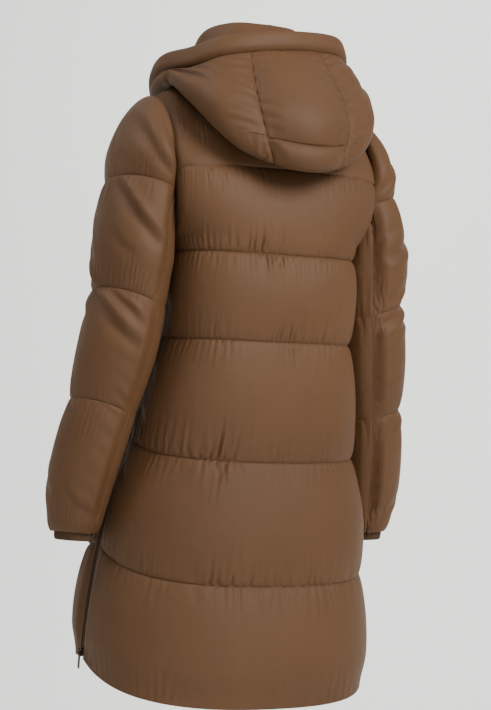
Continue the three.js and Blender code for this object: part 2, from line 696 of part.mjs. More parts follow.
function hoodSide(sign) {
  const turn = (u, v) => sign * lerp(hoodSeam(v), THROAT, u);
  return quilt({
    at: (u, v) => hoodPoint(turn(u, v), v),
    rise: hoodRise(LOFT.hood, [BAND, HOOD_FOOT, 1], (u) => ease(u / 0.12) * ease((1 - u) / 0.15)),
    columns: spread(0, 1, 16),
    rows: hoodRows,
    innerColumns: spread(0, 1, 8),
    innerRows: hoodInnerRows,
    direction: (u, v, n) => hoodFacing(turn(u, v), v, n),
    gaps: { start: SEAM_GAP / 2, end: 0, foot: SEAM_GAP / 2, head: 0 },
  });
}

// The stand-up collar inside the hood, sewn to the same neck seam.
const COLLAR = [
  { turn: 0, x: 0, y: 64, z: 86 },
  { turn: 45, x: 53, y: 42, z: 88 },
  { turn: 90, x: 76, y: -8, z: 80 },
  { turn: 135, x: 54, y: -64, z: 48 },
  { turn: 180, x: 0, y: -92, z: 18 },
];
const COLLAR_END = 175.5;
function collarPoint(turn, up) {
  const share = Math.abs(turn);
  const foot = neck(share).add(vec(0, 0, SEAM_WALL + 5.6 * SEAM_GAP));
  const out = vec(foot.x, foot.y + 10, 0).normalize();
  const point = foot.lerp(readPoint(COLLAR, "turn", share), up);
  point.addScaledVector(out, 5 * Math.sin(Math.PI * up) - 2 * (1 - up));
  return turn < 0 ? mirror(point) : point;
}

function standCollar() {
  return quilt({
    at: (u, v) => collarPoint(u * COLLAR_END, v),
    rise: (u, v) => {
      const edge = ease((1 - Math.abs(u)) / 0.05) * ease((v - 0.1) / 0.3);
      return SEAM_WALL - 0.5 + LOFT.collar * puff(v) * edge;
    },
    columns: spread(-1, 1, 40),
    rows: [0, 0.08, 0.3, 0.6, 0.85, 0.96, 1],
    innerColumns: spread(-1, 1, 20),
    innerRows: [0, 0.5, 1],
    direction: (u, v, n) => n.setZ(n.z * ease(v / 0.3)).normalize(),
    outward: -1,
    gaps: { start: 0, end: 0, foot: 0, head: 0 },
  });
}

// ---------------------------------------------------------------- the zips
// Each zip runs up a line of the coat. A stop on it has a point on the inside of the cloth, the way
// out of the cloth, the way up the zip and the way across it.
function stop(point, above, below, out) {
  const up = above.clone().sub(below).normalize();
  const across = up.clone().cross(out).normalize();
  return { point, up, across, out: across.clone().cross(up).normalize() };
}

const FRONT_TOP = 6.86; // the front zip runs past the neck seam, at 6, and up the collar to here
function frontLine(t) {
  if (t <= 5.9) return bodyPoint("front", 0, t);
  const [low, high] = [bodyPoint("front", 0, 5.9), collarPoint(180, t - 6)];
  return low.lerp(high, ease((t - 5.9) / 0.25));
}
const frontStop = (t) => stop(frontLine(t), frontLine(t + 0.02), frontLine(t - 0.02), vec(0, -1, 0));

// Height of a side seam above the hem, in quilting lines.
function sideStop(side, height) {
  const at = (h) => {
    const hem = lineHeight(0, "back", 1, side);
    let line = 0;
    while (lineHeight(line, "back", 1, side) < hem + h) line += 0.01;
    return bodyPoint("back", side === "left" ? 1 : -1, line).setZ(hem + h);
  };
  const out = vec(side === "left" ? 1 : -1, 0, 0);
  return stop(at(height), at(height + 12), at(Math.max(0, height - 12)), out);
}

// One tape with its half of the coil, on the side of the zip that sign names.
function tape(stops, sign, width) {
  const profile = [
    { across: 0.15, out: ZIP.coil },
    { across: 1.9, out: ZIP.coil },
    { across: 2.1, out: ZIP.wall },
    { across: width, out: ZIP.wall },
  ];
  const place = (s, a, o) => {
    return s.point.clone().addScaledVector(s.across, sign * a).addScaledVector(s.out, ZIP.sunk + o);
  };
  const outer = stops.map((s) => profile.map((p) => place(s, p.across, p.out)));
  const inner = stops.map((s) => [profile[0], profile[3]].map((p) => place(s, p.across, 0)));
  return closeWall(inner, outer);
}

const wasm = await Module();
wasm.setup();
const { Manifold, CrossSection } = wasm;

// A part drawn across the zip: x runs across it, y up it and z out of the cloth.
function block(across, up, out) {
  const size = [across[1] - across[0], up[1] - up[0], out[1] - out[0]];
  return Manifold.cube(size).translate([across[0], up[0], out[0]]);
}

// The slider: a tapered body over the coil, and the bridge that holds the pull.
function sliderShape() {
  const outline = [
    [-2.6, -5],
    [2.6, -5],
    [3.9, 1],
    [3.9, 4],
    [2.6, 5.2],
    [-2.6, 5.2],
    [-3.9, 4],
    [-3.9, 1],
  ];
  const body = Manifold.extrude(new CrossSection([outline]), 2.7).translate([0, 0, 0.3]);
  const posts = [block([-0.8, 0.8], [-4.4, -3.1], [2.9, 6.6]), block([-0.8, 0.8], [3.1, 4.4], [2.9, 6.6])];
  return Manifold.union([body, ...posts, block([-0.8, 0.8], [-4.4, 4.4], [5.4, 6.6])]);
}

// The pull: a pin under the bridge, two legs and a tab that narrows towards them.
function pullShape() {
  const { pin, stand, leg, tab, neck: reach, length } = PULL;
  const rod = Manifold.cylinder(2 * tab, pin, pin, 12, true).rotate([0, 90, 0]);
  const legs = [
    block([-tab, -leg], [-reach, 0], [-0.6, 0.6]),
    block([leg, tab], [-reach, 0], [-0.6, 0.6]),
  ];
  const outline = [
    [-tab, -reach],
    [-tab, -length + 3],
    [-tab + 1.4, -length],
    [tab - 1.4, -length],
    [tab, -length + 3],
    [tab, -reach],
  ];
  const plate = Manifold.extrude(new CrossSection([outline]), 1.2).translate([0, 0, -0.6]);
  return Manifold.union([rod, ...legs, plate]).translate([0, 0, stand]);
}

// Stands a shape on the coil at a stop of the zip.
function fasten(shape, { point, up, across, out }, lift) {
  const mesh = shape.getMesh();
  const foot = point.clone().addScaledVector(out, ZIP.sunk + ZIP.coil + lift);
  const points = [];
  for (let i = 0; i < mesh.vertProperties.length; i += mesh.numProp) {
    const [a, b, c] = mesh.vertProperties.slice(i, i + 3);
    const p = foot.clone().addScaledVector(across, a).addScaledVector(up, b);
    points.push(p.addScaledVector(out, c));
  }
  return solid(points, [...mesh.triVerts]);
}

// ---------------------------------------------------------------- assembling
const slots = {
  shell: { color: 0x7a5a40, roughness: 0.62, metalness: 0 },
  rib: { color: 0x6a4d36, roughness: 0.85, metalness: 0 },
  zip: { color: 0x3c2c20, roughness: 0.7, metalness: 0 },
  metal: { color: 0x4a4038, roughness: 0.35, metalness: 1 },
};
const group = new THREE.Group();
function add(name, geometry, slot) {
  const mesh = new THREE.Mesh(geometry, new THREE.MeshStandardMaterial(slots[slot]));
  mesh.name = name;
  group.add(mesh);
}

add("back_panel", backPanel(), "shell");
add("front_panel_left", frontPanel("left"), "shell");
add("front_panel_right", frontPanel("right"), "shell");
add("sleeve_outer_left", outerSleeve(false), "shell");
add("sleeve_outer_right", outerSleeve(true), "shell");
add("sleeve_under_left", underSleeve(false), "shell");
add("sleeve_under_right", underSleeve(true), "shell");
add("cuff_left", cuff(false), "rib");
add("cuff_right", cuff(true), "rib");
add("hood_brim", hoodBrim(), "shell");
add("hood_centre", hoodCentre(), "shell");
add("hood_side_left", hoodSide(1), "shell");
add("hood_side_right", hoodSide(-1), "shell");
add("collar", standCollar(), "shell");

const frontStops = spread(0.03, FRONT_TOP, 44).map(frontStop);
add("front_zip_tape_left", tape(frontStops, -1, ZIP.tape), "zip");
add("front_zip_tape_right", tape(frontStops, 1, ZIP.tape), "zip");
add("front_zip_slider", fasten(sliderShape(), frontStop(FRONT_TOP - 0.16), 0), "metal");
add("front_zip_pull", fasten(pullShape(), frontStop(FRONT_TOP - 0.16), 0), "metal");
for (const side of ["left", "right"]) {
  const stops = spread(1.5, ZIP.sideLength - 3, 10).map((h) => sideStop(side, h));
  const sign = side === "left" ? 1 : -1;
  add(`side_zip_${side}_tape_back`, tape(stops, sign, ZIP.sideTape), "zip");
  add(`side_zip_${side}_tape_front`, tape(stops, -sign, ZIP.sideTape), "zip");
  add(`side_zip_${side}_slider`, fasten(sliderShape(), sideStop(side, ZIP.slider), 0), "metal");
  add(`side_zip_${side}_pull`, fasten(pullShape(), sideStop(side, ZIP.slider), 0), "metal");
}

export default group;
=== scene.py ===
# A hooded down coat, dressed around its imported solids: quilted panels of nylon filled with down, ribbed
# inner cuffs, woven zip tapes with their coils, and stitched seams. Sizes in the tables are millimetres.
import math

import bmesh
import bpy
import mathutils
import numpy as np
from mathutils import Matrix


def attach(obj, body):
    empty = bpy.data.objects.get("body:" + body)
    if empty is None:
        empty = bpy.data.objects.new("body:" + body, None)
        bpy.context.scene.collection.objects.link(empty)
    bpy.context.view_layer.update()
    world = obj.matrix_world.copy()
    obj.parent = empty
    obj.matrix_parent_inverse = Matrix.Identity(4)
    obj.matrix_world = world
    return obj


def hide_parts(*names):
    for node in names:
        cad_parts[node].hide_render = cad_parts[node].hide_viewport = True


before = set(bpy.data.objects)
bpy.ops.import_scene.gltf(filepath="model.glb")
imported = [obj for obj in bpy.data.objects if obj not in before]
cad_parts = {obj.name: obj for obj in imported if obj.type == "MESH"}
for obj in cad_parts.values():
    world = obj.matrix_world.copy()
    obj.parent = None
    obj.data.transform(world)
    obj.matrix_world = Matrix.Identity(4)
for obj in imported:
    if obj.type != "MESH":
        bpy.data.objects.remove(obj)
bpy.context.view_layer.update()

# ---- sizes, as in the solids
SIDES = ("left", 1), ("right", -1)
SEAM_WALL = 4
SEAM_GAP = 0.3
LOFT = {"body": 13, "yoke": 8, "sleeve": 10, "under": 3, "hood": 11, "brim": 12, "collar": 5}
FULL_BAFFLE = 110
UNDERARM, TOP = 4.18, 6
ZIP = {"tape": 5.6, "side_tape": 4.8, "coil": 2.8, "sunk": 1, "side_length": 233}


def table(names, *rows):
    """Named columns from rows of numbers."""
    return {name: np.array([row[i] for row in rows], float) for i, name in enumerate(names.split())}


QUILT_LINES = table(
    "line back left right front",
    (0, -942, -870, -876, -862),
    (1, -763, -698, -714, -706),
    (2, -580, -540, -542, -548),
    (3, -402, -386, -386, -392),
    (4, -274, -257, -258, -266),
    (5, -146, -134, -138, -152),
)
RISE = {"back": 2.6, "front": 2}
BODY = table(
    "z half side back front square",
    (-945, 222, -126, 74, -236, 2.3),
    (-810, 219, -110, 76, -228, 2.3),
    (-640, 196, -84, 80, -206, 2.7),
    (-540, 169, -64, 88, -186, 3.1),
    (-450, 151, -40, 100, -164, 3.3),
    (-350, 138, -16, 116, -142, 3.3),
    (-256, 138, 0, 124, -128, 3.1),
    (-136, 150, 2, 118, -102, 2.6),
    (-60, 150, 2, 100, -92, 2.4),
)
ARMHOLE = table(
    "turn x y z",
    (0, 140, 3, -232),
    (45, 153, 60, -205),
    (90, 166, 80, -140),
    (135, 172, 50, -66),
    (180, 170, -4, -36),
    (225, 168, -52, -68),
    (270, 158, -72, -140),
    (315, 151, -50, -205),
    (360, 140, 3, -232),
)
NECKLINE = table(
    "turn x y z",
    (0, 0, 78, 6),
    (45, 62, 57, 5),
    (90, 88, 2, 0),
    (135, 64, -62, -30),
    (180, 0, -94, -66),
)
SLEEVE = table(
    "z x y half deep tip",
    (-275, 201, 10, 48, 64, 1),
    (-390, 212, -7, 46, 58, 1),
    (-490, 230, -32, 43, 50, 1),
    (-610, 249, -68, 38, 42, 0.7),
    (-684, 254, -88, 34, 38, 0.2),
)
SLEEVE_LINES = [-680, -492, -332]
SLEEVE_TOP = -275
SLEEVE_LEAN = {"out": 0.18, "ahead": 0.24}
SLEEVE_SEAM, CAP_TOP, CAP_REACH = 65, 150, 0.61
CUFF = table("up inside", (22, 2.1), (8, 4), (0, 6), (-10, 7.5))
HOOD_TURNS = (0, 45, 68, 90, 110, 135, 170)


def hood_ring(x, y, z, turns=HOOD_TURNS):
    """A row round half of the hood."""
    return table("turn x y z", *zip(turns, x, y, z))


HOOD_LINE, BAND, HOOD_FOOT, THROAT = 0.53, 0.16, 0.65, 166
HOOD = {  # rows from the rim, at 0, to the neck, at 1
    0: hood_ring(
        (0, 90, 122, 136, 128, 100, 22), (112, 90, 50, -8, -52, -92, -122), (64, 60, 48, 44, 29, 4, -16)
    ),
    BAND: hood_ring(
        (0, 95, 130, 143, 135, 104, 24), (120, 98, 54, -6, -52, -92, -122), (34, 30, 18, 20, 8, -20, -46)
    ),
    0.45: hood_ring(
        (0, 118, 142, 141, 133, 101, 24), (202, 142, 78, 10, -40, -89, -118), (-90, -62, -24, 6, -5, -25, -51)
    ),
    HOOD_FOOT: hood_ring(
        (0, 88, 134, 130, 122, 94, 22), (186, 150, 88, 18, -36, -84, -113), (-157, -124, -48, 8, -3, -26, -54)
    ),
    0.82: hood_ring(
        (0, 84, 112, 114, 106, 82, 19), (148, 116, 62, 8, -32, -76, -108), (-88, -44, -2, 10, 0, -22, -54)
    ),
    1: hood_ring(
        (0, 69, 90, 97, 71, 16),
        (88, 64, 34, 2, -68, -103),
        (12.5, 12, 10.8, 8, -22.5, -55.5),
        turns=(0, 45, 68, 90, 135, 170),
    ),
}
HOOD_SLANT = 0.11
HOOD_CENTRE = {"brim": 27, "foot": 26}
COLLAR = table(
    "turn x y z",
    (0, 0, 64, 86),
    (45, 53, 42, 88),
    (90, 76, -8, 80),
    (135, 54, -64, 48),
    (180, 0, -92, 18),
)
COLLAR_END = 175.5
FRONT_TOP = 6.86
SIDE_ZIP = {"top": 1.42, "closed": 1.5}


# ---- small mathematics
def lerp(a, b, t):
    return a + (b - a) * t


def ease(t, start=0, over=1):
    """Smoothly from 0 at the start to 1."""
    t = np.clip((t - start) / over, 0, 1)
    return t * t * (3 - 2 * t)


def hermite(p0, m0, p1, m1, t):
    t2, t3 = t * t, t * t * t
    return (2 * t3 - 3 * t2 + 1) * p0 + (t3 - 2 * t2 + t) * m0 + (3 * t2 - 2 * t3) * p1 + (t3 - t2) * m1


def read_values(keys, values, t):
    """Values on a smooth curve through (keys, values) at t. values may differ from place to place."""
    order = 1 if keys[-1] > keys[0] else -1
    last = len(keys) - 1
    i = np.clip(np.searchsorted(keys * order, t * order, side="left"), 1, last)
    if values.ndim == 1:
        pick = lambda j: values[j]
    else:
        pick = lambda j: np.take_along_axis(values, j[None], 0)[0]
    low, high = np.maximum(0, i - 2), np.minimum(last, i + 1)
    span = keys[i] - keys[i - 1]
    m0 = (pick(i) - pick(low)) / (keys[i] - keys[low]) * span
    m1 = (pick(high) - pick(i - 1)) / (keys[high] - keys[i - 1]) * span
    return hermite(pick(i - 1), m0, pick(i), m1, np.clip((t - keys[i - 1]) / span, 0, 1))


def read(rows, key, column, t):
    return read_values(rows[key], rows[column], np.asarray(t, float))


def read_point(rows, key, t):
    return np.stack([read(rows, key, c, t) for c in "xyz"], -1)


def vec(x, y, z):
    return np.stack(np.broadcast_arrays(np.asarray(x, float), y, z), -1).astype(float)


def unit(v):
    return v / np.maximum(np.linalg.norm(v, axis=-1, keepdims=True), 1e-9)


def dot(a, b):
    return np.einsum("...k,...k", a, b)


def grids(a, b):
    return np.broadcast_arrays(np.asarray(a, float), np.asarray(b, float))


def sin(degrees):
    return np.sin(np.radians(degrees))


def cos(degrees):
    return np.cos(np.radians(degrees))


def mirrored(p, sign=-1):
    """The points on the coat's own right side, where the sign is -1."""
    return p * np.array([sign, 1, 1])


# ---- the coat's surfaces
def armhole(turn):
    return read_point(ARMHOLE, "turn", np.mod(turn, 360))


def neck(turn):
    return read_point(NECKLINE, "turn", turn)


def ring(column, z):
    return read(BODY, "z", column, z)


def by_side(turn, line):
    left, right = read(QUILT_LINES, "line", "left", line), read(QUILT_LINES, "line", "right", line)
    return np.where(turn >= 0, left, right)


def shoulder(share):
    point = lerp(neck(90.0), armhole(180.0), share[..., None])
    point[..., 2] += 4 * np.sin(np.pi * share)
    return point


def top_seam(part, share):
    turned = share * 180 if part == "back" else 180 - share * 180
    return np.where((share < 0.5)[..., None], neck(turned), shoulder(share * 2 - 1))


def body_point(part, turn, line):
    """The inside of the body: turn 0 at the centre to 1 at the left side, line from hem to shoulder."""
    turn, line = grids(turn, line)
    share = np.abs(turn)
    up = np.clip((line - UNDERARM) / (TOP - UNDERARM), 0, 1)
    low = np.minimum(line, 5.4)
    middle_z = read(QUILT_LINES, "line", part, low)
    wide = by_side(turn, low)
    edge = vec(ring("half", wide), ring("side", wide), wide)
    hole = armhole(180 * up if part == "back" else 360 - 180 * up)
    edge = lerp(edge, hole, ease((line - UNDERARM + 0.8) / 0.8)[..., None])
    z = lerp(middle_z, np.where(line > UNDERARM, edge[..., 2], wide), share ** RISE[part])
    reach = ring(part, middle_z)
    power = ring("square", z)
    s, c = np.sin(share * np.pi / 2), np.cos(share * np.pi / 2)
    s, c = np.clip(s, 0, 1), np.clip(c, 0, 1)
    around = (s**power + c**power) ** (-1 / power)
    point = vec(edge[..., 0] * around * s, edge[..., 1] + (reach - edge[..., 1]) * around * c, z)
    blend = np.where(line > 5, ease(line - 5) * 0.55 + (line - 5) * 0.45, 0)
    softer = 0.13 * (1 - blend) * ease(1 - np.abs(share - 0.5) / 0.4)  # rounds the corner at the neck
    seam = sum(top_seam(part, share + step * softer) for step in np.linspace(-1, 1, 9)) / 9
    point = lerp(point, seam, blend[..., None])
    return np.where((turn >= 0)[..., None], point, mirrored(point))


def arm_direction(turn):
    point = armhole(turn) - np.array([0, 4, -136])
    return unit(vec(0.3, point[..., 1] / 78, point[..., 2] / 98))


def square_top(part, turn, line, normal):
    side = np.sign(turn)
    shoulder = ease(np.abs(turn), 0.42, 0.16)
    ridge = unit(vec(0.4 * side * shoulder, 0, 1 - 0.08 * shoulder))
    normal = unit(lerp(normal, ridge, ease(line, 5.5, 0.5)[..., None]))
    up = np.clip((line - UNDERARM) / (TOP - UNDERARM), 0, 1)
    turned = 180 * up if part == "back" else 360 - 180 * up
    away = (1 - cos(turned)) / 2
    cut = unit(lerp(vec(1, 0, 0 * turned), arm_direction(turned), ease(away, 0.02, 0.2)[..., None]))
    cut[..., 0] *= side
    near = ease(np.abs(turn), 0.96, 0.04)
    return unit(lerp(normal, cut, near[..., None]))


def sleeve_start(turn):
    under = (1 + cos(turn)) / 2
    apart = (2 * SEAM_WALL + 2 * SEAM_GAP) * under**1.5
    return armhole(turn) + vec(apart + 2.6 * SEAM_GAP, 0, -0.2 * SEAM_GAP)


def sleeve_axis(z, height):
    """Points in the middle of the sleeve at z, put at the given height."""
    return vec(read(SLEEVE, "z", "x", z), read(SLEEVE, "z", "y", z), height)


def sleeve_ring(turn, z):
    turn, z = grids(turn, z)
    dx = -read(SLEEVE, "z", "half", z) * cos(turn)
    dy = read(SLEEVE, "z", "deep", z) * sin(turn)
    tilt = SLEEVE_LEAN["out"] * dx - SLEEVE_LEAN["ahead"] * dy
    return sleeve_axis(z, z + tilt * read(SLEEVE, "z", "tip", z)) + vec(dx, dy, 0)


def sleeve_height(level):
    return lerp(SLEEVE_LINES[0], SLEEVE_TOP, level / 2)


def sleeve_level(z):
    return 2 * (z - SLEEVE_LINES[0]) / (SLEEVE_TOP - SLEEVE_LINES[0])


def sleeve_point(turn, level):
    turn, level = grids(turn, level)
    below = sleeve_ring(turn, sleeve_height(np.minimum(level, 2)))
    start, end = sleeve_start(turn), sleeve_ring(turn, SLEEVE_TOP)
    size = np.linalg.norm(start - end, axis=-1, keepdims=True)
    under = ((1 + cos(turn)) / 2)[..., None]
    out = lerp(np.array([0.95, 0, -0.3]), np.array([0.35, 0, -0.95]), under) * size * CAP_REACH
    down = np.array([0.13, -0.12, -1]) * size
    above = hermite(start, out, end, down, np.clip(3 - level, 0, 1)[..., None])
    return np.where((level <= 2)[..., None], below, above)


def row_height(row):
    i = np.clip(np.floor(row), 0, 1).astype(int)
    lines = np.array(SLEEVE_LINES, float)
    return lerp(lines[i], lines[i + 1], row - i)


def upper_level(row):
    return lerp(sleeve_level(SLEEVE_LINES[2]), 3, row - 2)


def cap_turn(row):
    return lerp(SLEEVE_SEAM, CAP_TOP, row - 3)


def sleeve_edge(side, row):
    low = sleeve_ring(side * SLEEVE_SEAM, row_height(np.minimum(row, 2)))
    mid = sleeve_point(side * SLEEVE_SEAM, upper_level(np.clip(row, 2, 3)))
    top = sleeve_start(side * cap_turn(np.clip(row, 3, 4)))
    return np.where((row <= 2)[..., None], low, np.where((row < 3)[..., None], mid, top))


def sleeve_crown(row):
    low = sleeve_ring(180.0, row_height(np.minimum(row, 2)))
    share = (np.clip(row - 2, 0, 2) / 2) ** 0.94
    high = sleeve_point(180.0, lerp(sleeve_level(SLEEVE_LINES[2]), 3, share))
    return np.where((row <= 2)[..., None], low, high)


def sleeve_edge_direction(turn, share):
    around = unit(vec(-cos(turn) / 46, sin(turn) / 55, 0 * share))
    return unit(lerp(around, arm_direction(turn), ease(share)[..., None]))


def outer_sleeve_point(across, row):
    across, row = grids(across, row)
    reach = 180 - SLEEVE_SEAM
    angle = np.abs(across) * reach
    crown = sleeve_crown(row)
    side = np.where(across < 0, 1, -1)
    edge = sleeve_edge(side, row)
    fx = (1 - cos(angle)) / (1 - cos(reach))
    fy = sin(angle) / sin(reach)
    fz = lerp(fx, across**2, 0.5)
    point = lerp(crown, edge, np.stack([fx, fy, fz], -1))
    turn = side * lerp(180, CAP_TOP, np.abs(across))
    return lerp(point, sleeve_start(turn), ease(row, 3.2, 0.8)[..., None])


def outer_sleeve_direction(u, v, n):
    side = np.where(u < 0, 1, -1)
    head = ease(v, 3.7, 0.3)
    top = side * lerp(180, CAP_TOP, np.abs(u))
    hole = side * np.where(v < 3, SLEEVE_SEAM, cap_turn(v))
    away = sleeve_edge_direction(lerp(hole, top, head), v - 2)
    edge = ease(np.abs(u), 0.93, 0.07)
    return unit(lerp(n, away, np.maximum(edge, head)[..., None]))


def under_sleeve_point(across, row):
    across, row = grids(across, row)
    turn = -across * SLEEVE_SEAM
    low = sleeve_ring(turn, row_height(np.minimum(row, 2)))
    high = sleeve_point(turn, upper_level(np.maximum(row, 2)))
    return np.where((row <= 2)[..., None], low, high)


def under_sleeve_direction(u, v, n):
    away = sleeve_edge_direction(-u * SLEEVE_SEAM, v - 2)
    edge = np.maximum(ease(np.abs(u), 0.88, 0.12), ease(v, 2.85, 0.15))
    return unit(lerp(n, away, edge[..., None]))


HOOD_MIDDLE = 14  # the hood is rounded over this many degrees either side of its centre line


def hood_point(turn, down):
    turn, down = grids(turn, down)
    share = np.abs(turn)
    keys = np.array(list(HOOD), float)
    middle = np.where(share < HOOD_MIDDLE, share**2 / (2 * HOOD_MIDDLE) + HOOD_MIDDLE / 2, share)
    path = np.stack([read_point(row, "turn", middle) for row in HOOD.values()])
    path[..., 0] = np.stack([read(row, "turn", "x", share) for row in HOOD.values()])
    point = np.stack([read_values(keys, path[..., k], down) for k in range(3)], -1)
    point[..., 0] *= np.where(turn < 0, -1, 1)
    slant = HOOD_SLANT * lerp(1, 0.5, ease(share, 50, 40))
    point[..., 2] -= slant * point[..., 0] * ease((0.5 - down) / 0.36)
    return point


def hood_facing(turn, down):
    """The outward direction, from points a little to each side."""
    left, right = (np.clip(turn + step, -THROAT, THROAT) for step in (3.3, -3.3))
    low, high = (np.clip(down + step, 0, 1) for step in (0.01, -0.01))
    across = hood_point(left, down) - hood_point(right, down)
    along = hood_point(turn, low) - hood_point(turn, high)
    return unit(np.cross(across, along))


def hood_seam(down):
    return lerp(HOOD_CENTRE["brim"], HOOD_CENTRE["foot"], ease((down - BAND) / 0.5))


def collar_point(turn, up):
    turn, up = grids(turn, up)
    share = np.abs(turn)
    foot = neck(share) + np.array([0, 0, SEAM_WALL + 5.6 * SEAM_GAP])
    out = unit(vec(foot[..., 0], foot[..., 1] + 10, 0))
    point = lerp(foot, read_point(COLLAR, "turn", share), up[..., None])
    point += out * (5 * np.sin(np.pi * up) - 2 * (1 - up))[..., None]
    return np.where((turn < 0)[..., None], mirrored(point), point)


def front_line(t):
    t = np.asarray(t, float)
    body = body_point("front", 0 * t, np.minimum(t, 5.9))
    high = collar_point(180 + 0 * t, np.maximum(t - 6, 0))
    return np.where((t <= 5.9)[..., None], body, lerp(body, high, ease(t, 5.9, 0.25)[..., None]))


# ---- quilted panels
def puff(f):
    return np.sin(np.pi * np.clip(f, 0, 1)) ** 0.62


def stations(lines, counts, closer=0.72):
    """Stations with every line on one of them, and closer together beside the lines."""
    out = []
    for i, n in enumerate(counts):
        t = np.arange(n) / n
        out += list(lerp(lines[i], lines[i + 1], lerp(t, ease(t), closer)))
    return np.array(out + [lines[-1]])


def lengths(points, axis):
    """Running length of a grid along one axis."""
    step = np.linalg.norm(np.diff(points, axis=axis), axis=-1)
    start = np.zeros_like(np.take(step, [0], axis))
    return np.concatenate([start, np.cumsum(step, axis)], axis)


def pull_in(grid, gaps, v):
    """Draws the edges in by the seam gaps, fading over the next 60 mm."""
    start, end, foot, head = gaps
    along = lengths(grid, 1)
    width = along[:, -1:]
    for amount, s, step in (
        (start, along, grid[:, 1] - grid[:, 0]),
        (end, width - along, grid[:, -2] - grid[:, -1]),
    ):
        size = amount(v) if callable(amount) else amount + 0 * v
        fade = np.clip(1 - s / np.minimum(60, width / 2), 0, 1)
        grid = grid + unit(step)[:, None] * (fade * size[:, None])[..., None]
    if foot:
        grid[0] += unit(grid[1] - grid[0]) * foot
    if head:
        grid[-1] += unit(grid[-2] - grid[-1]) * head
    return grid


def side_gap(line):
    closed = ease((line - SIDE_ZIP["top"]) / (SIDE_ZIP["closed"] - SIDE_ZIP["top"]))
    return lerp(ZIP["side_tape"] + SEAM_GAP, SEAM_GAP / 2, closed)


panels = []


def panel(name, at, rise, u, v, lines, gaps, direction, side=1, full=1):
    """Lays out one quilted panel: its inside, its outward directions and its raised outside."""
    uu, vv = np.meshgrid(u, v)
    inside = pull_in(at(uu, vv), gaps, v)
    across, upward = np.gradient(at(uu, vv), axis=1), np.gradient(at(uu, vv), axis=0)
    normal = direction(uu, vv, unit(np.cross(across, upward)) * side)
    height = rise(uu, vv)
    seams = np.zeros_like(uu, bool)
    for line in lines:
        seams[int(np.argmin(np.abs(v - line)))] = True
    seams[:, 0] = seams[:, -1] = seams[0] = seams[-1] = True
    made = dict(name=name, u=uu, v=vv, inside=inside, normal=normal, seams=seams, lines=lines)
    panels.append(made | dict(height=height, outside=inside + normal * height[..., None], full=full))


def body_rise(turn, line):
    channel = np.minimum(5, np.floor(line + 1e-6))
    f = line - channel
    loft = np.where(channel == 5, LOFT["yoke"], LOFT["body"])
    inward = 1 - np.abs(turn)
    edge = ease(inward / 0.07) * lerp(np.where(channel < 3, 0.55, 0.15), 1, ease(inward / 0.3))
    hem = np.where(channel == 0, ease(f / 0.3), 1)
    return SEAM_WALL + loft * puff(f) * lerp(0.35, 1, hem) * edge


LINES = [0, 1, 2, 3, 4, 5, 6]
BODY_ROWS = stations(LINES, [34, 34, 34, 25, 25, 27])
panel(
    "back_panel",
    lambda u, v: body_point("back", u, v),
    body_rise,
    np.linspace(1, -1, 121),
    BODY_ROWS,
    LINES,
    (side_gap, side_gap, 0, SEAM_GAP / 2),
    lambda u, v, n: square_top("back", u, v, n),
)
for name, sign in SIDES:
    panel(
        f"front_panel_{name}",
        lambda u, v, sign=sign: body_point("front", sign * u, v),
        lambda u, v: lerp(SEAM_WALL, body_rise(u, v), ease(u / 0.13)),
        np.linspace(0, 1, 61),
        BODY_ROWS,
        LINES,
        (ZIP["tape"] + SEAM_GAP, side_gap, 0, SEAM_GAP / 2),
        lambda u, v, n, sign=sign: square_top("front", sign * u, v, n),
        side=sign,
    )


def sleeve_rise(heights, edge_width, loft):
    heights = np.array(heights, float)

    def rise(across, row):
        channel = np.minimum(len(heights) - 2, np.floor(row + 1e-6)).astype(int)
        f = row - channel
        full = np.minimum(1, (heights[channel + 1] - heights[channel]) / FULL_BAFFLE) ** 0.5
        end = lerp(0.3, 1, ease(row / 0.32))
        return SEAM_WALL + loft * full * end * puff(f) * ease((1 - np.abs(across)) / edge_width)

    return rise


SLEEVE_END = {"pull": 4.5, "height": 16}


def turned_in(function):
    """Draws the sleeve's end in over the cuff."""

    def point(across, row):
        p = function(across, row)
        above = (SLEEVE_LINES[1] - SLEEVE_LINES[0]) * row
        pull = SLEEVE_END["pull"] * np.clip(1 - above / SLEEVE_END["height"], 0, 1) ** 2
        return p - unit(p - sleeve_axis(p[..., 2], p[..., 2])) * pull[..., None]

    return point


def on_side(function, sign):
    return lambda u, v: mirrored(function(u, v), sign)


def direct_side(function, sign):
    return lambda u, v, n: mirrored(function(u, v, mirrored(n, sign)), sign)


for name, sign in SIDES:
    panel(
        f"sleeve_outer_{name}",
        on_side(turned_in(outer_sleeve_point), sign),
        sleeve_rise([*SLEEVE_LINES, -150, -80], 0.2, LOFT["sleeve"]),
        np.linspace(-1, 1, 79),
        stations(LINES[:5], [50, 43, 46, 36]),
        LINES[:5],
        (SEAM_GAP / 2, SEAM_GAP / 2, 0, SEAM_GAP),
        direct_side(outer_sleeve_direction, sign),
        side=-sign,
        full=0.6,
    )
    panel(
        f"sleeve_under_{name}",
        on_side(turned_in(under_sleeve_point), sign),
        sleeve_rise([*SLEEVE_LINES, -232], 0.35, LOFT["under"]),
        np.linspace(-1, 1, 27),
        stations(LINES[:4], [36, 31, 22]),
        LINES[:4],
        (SEAM_GAP / 2, SEAM_GAP / 2, 0, SEAM_GAP),
        direct_side(under_sleeve_direction, sign),
        side=sign,
    )


def lip(share):
    """Rises steeply from a seam and rounds over."""
    return np.sin(math.pi / 2 * np.clip(share, 0, 1)) ** 0.75


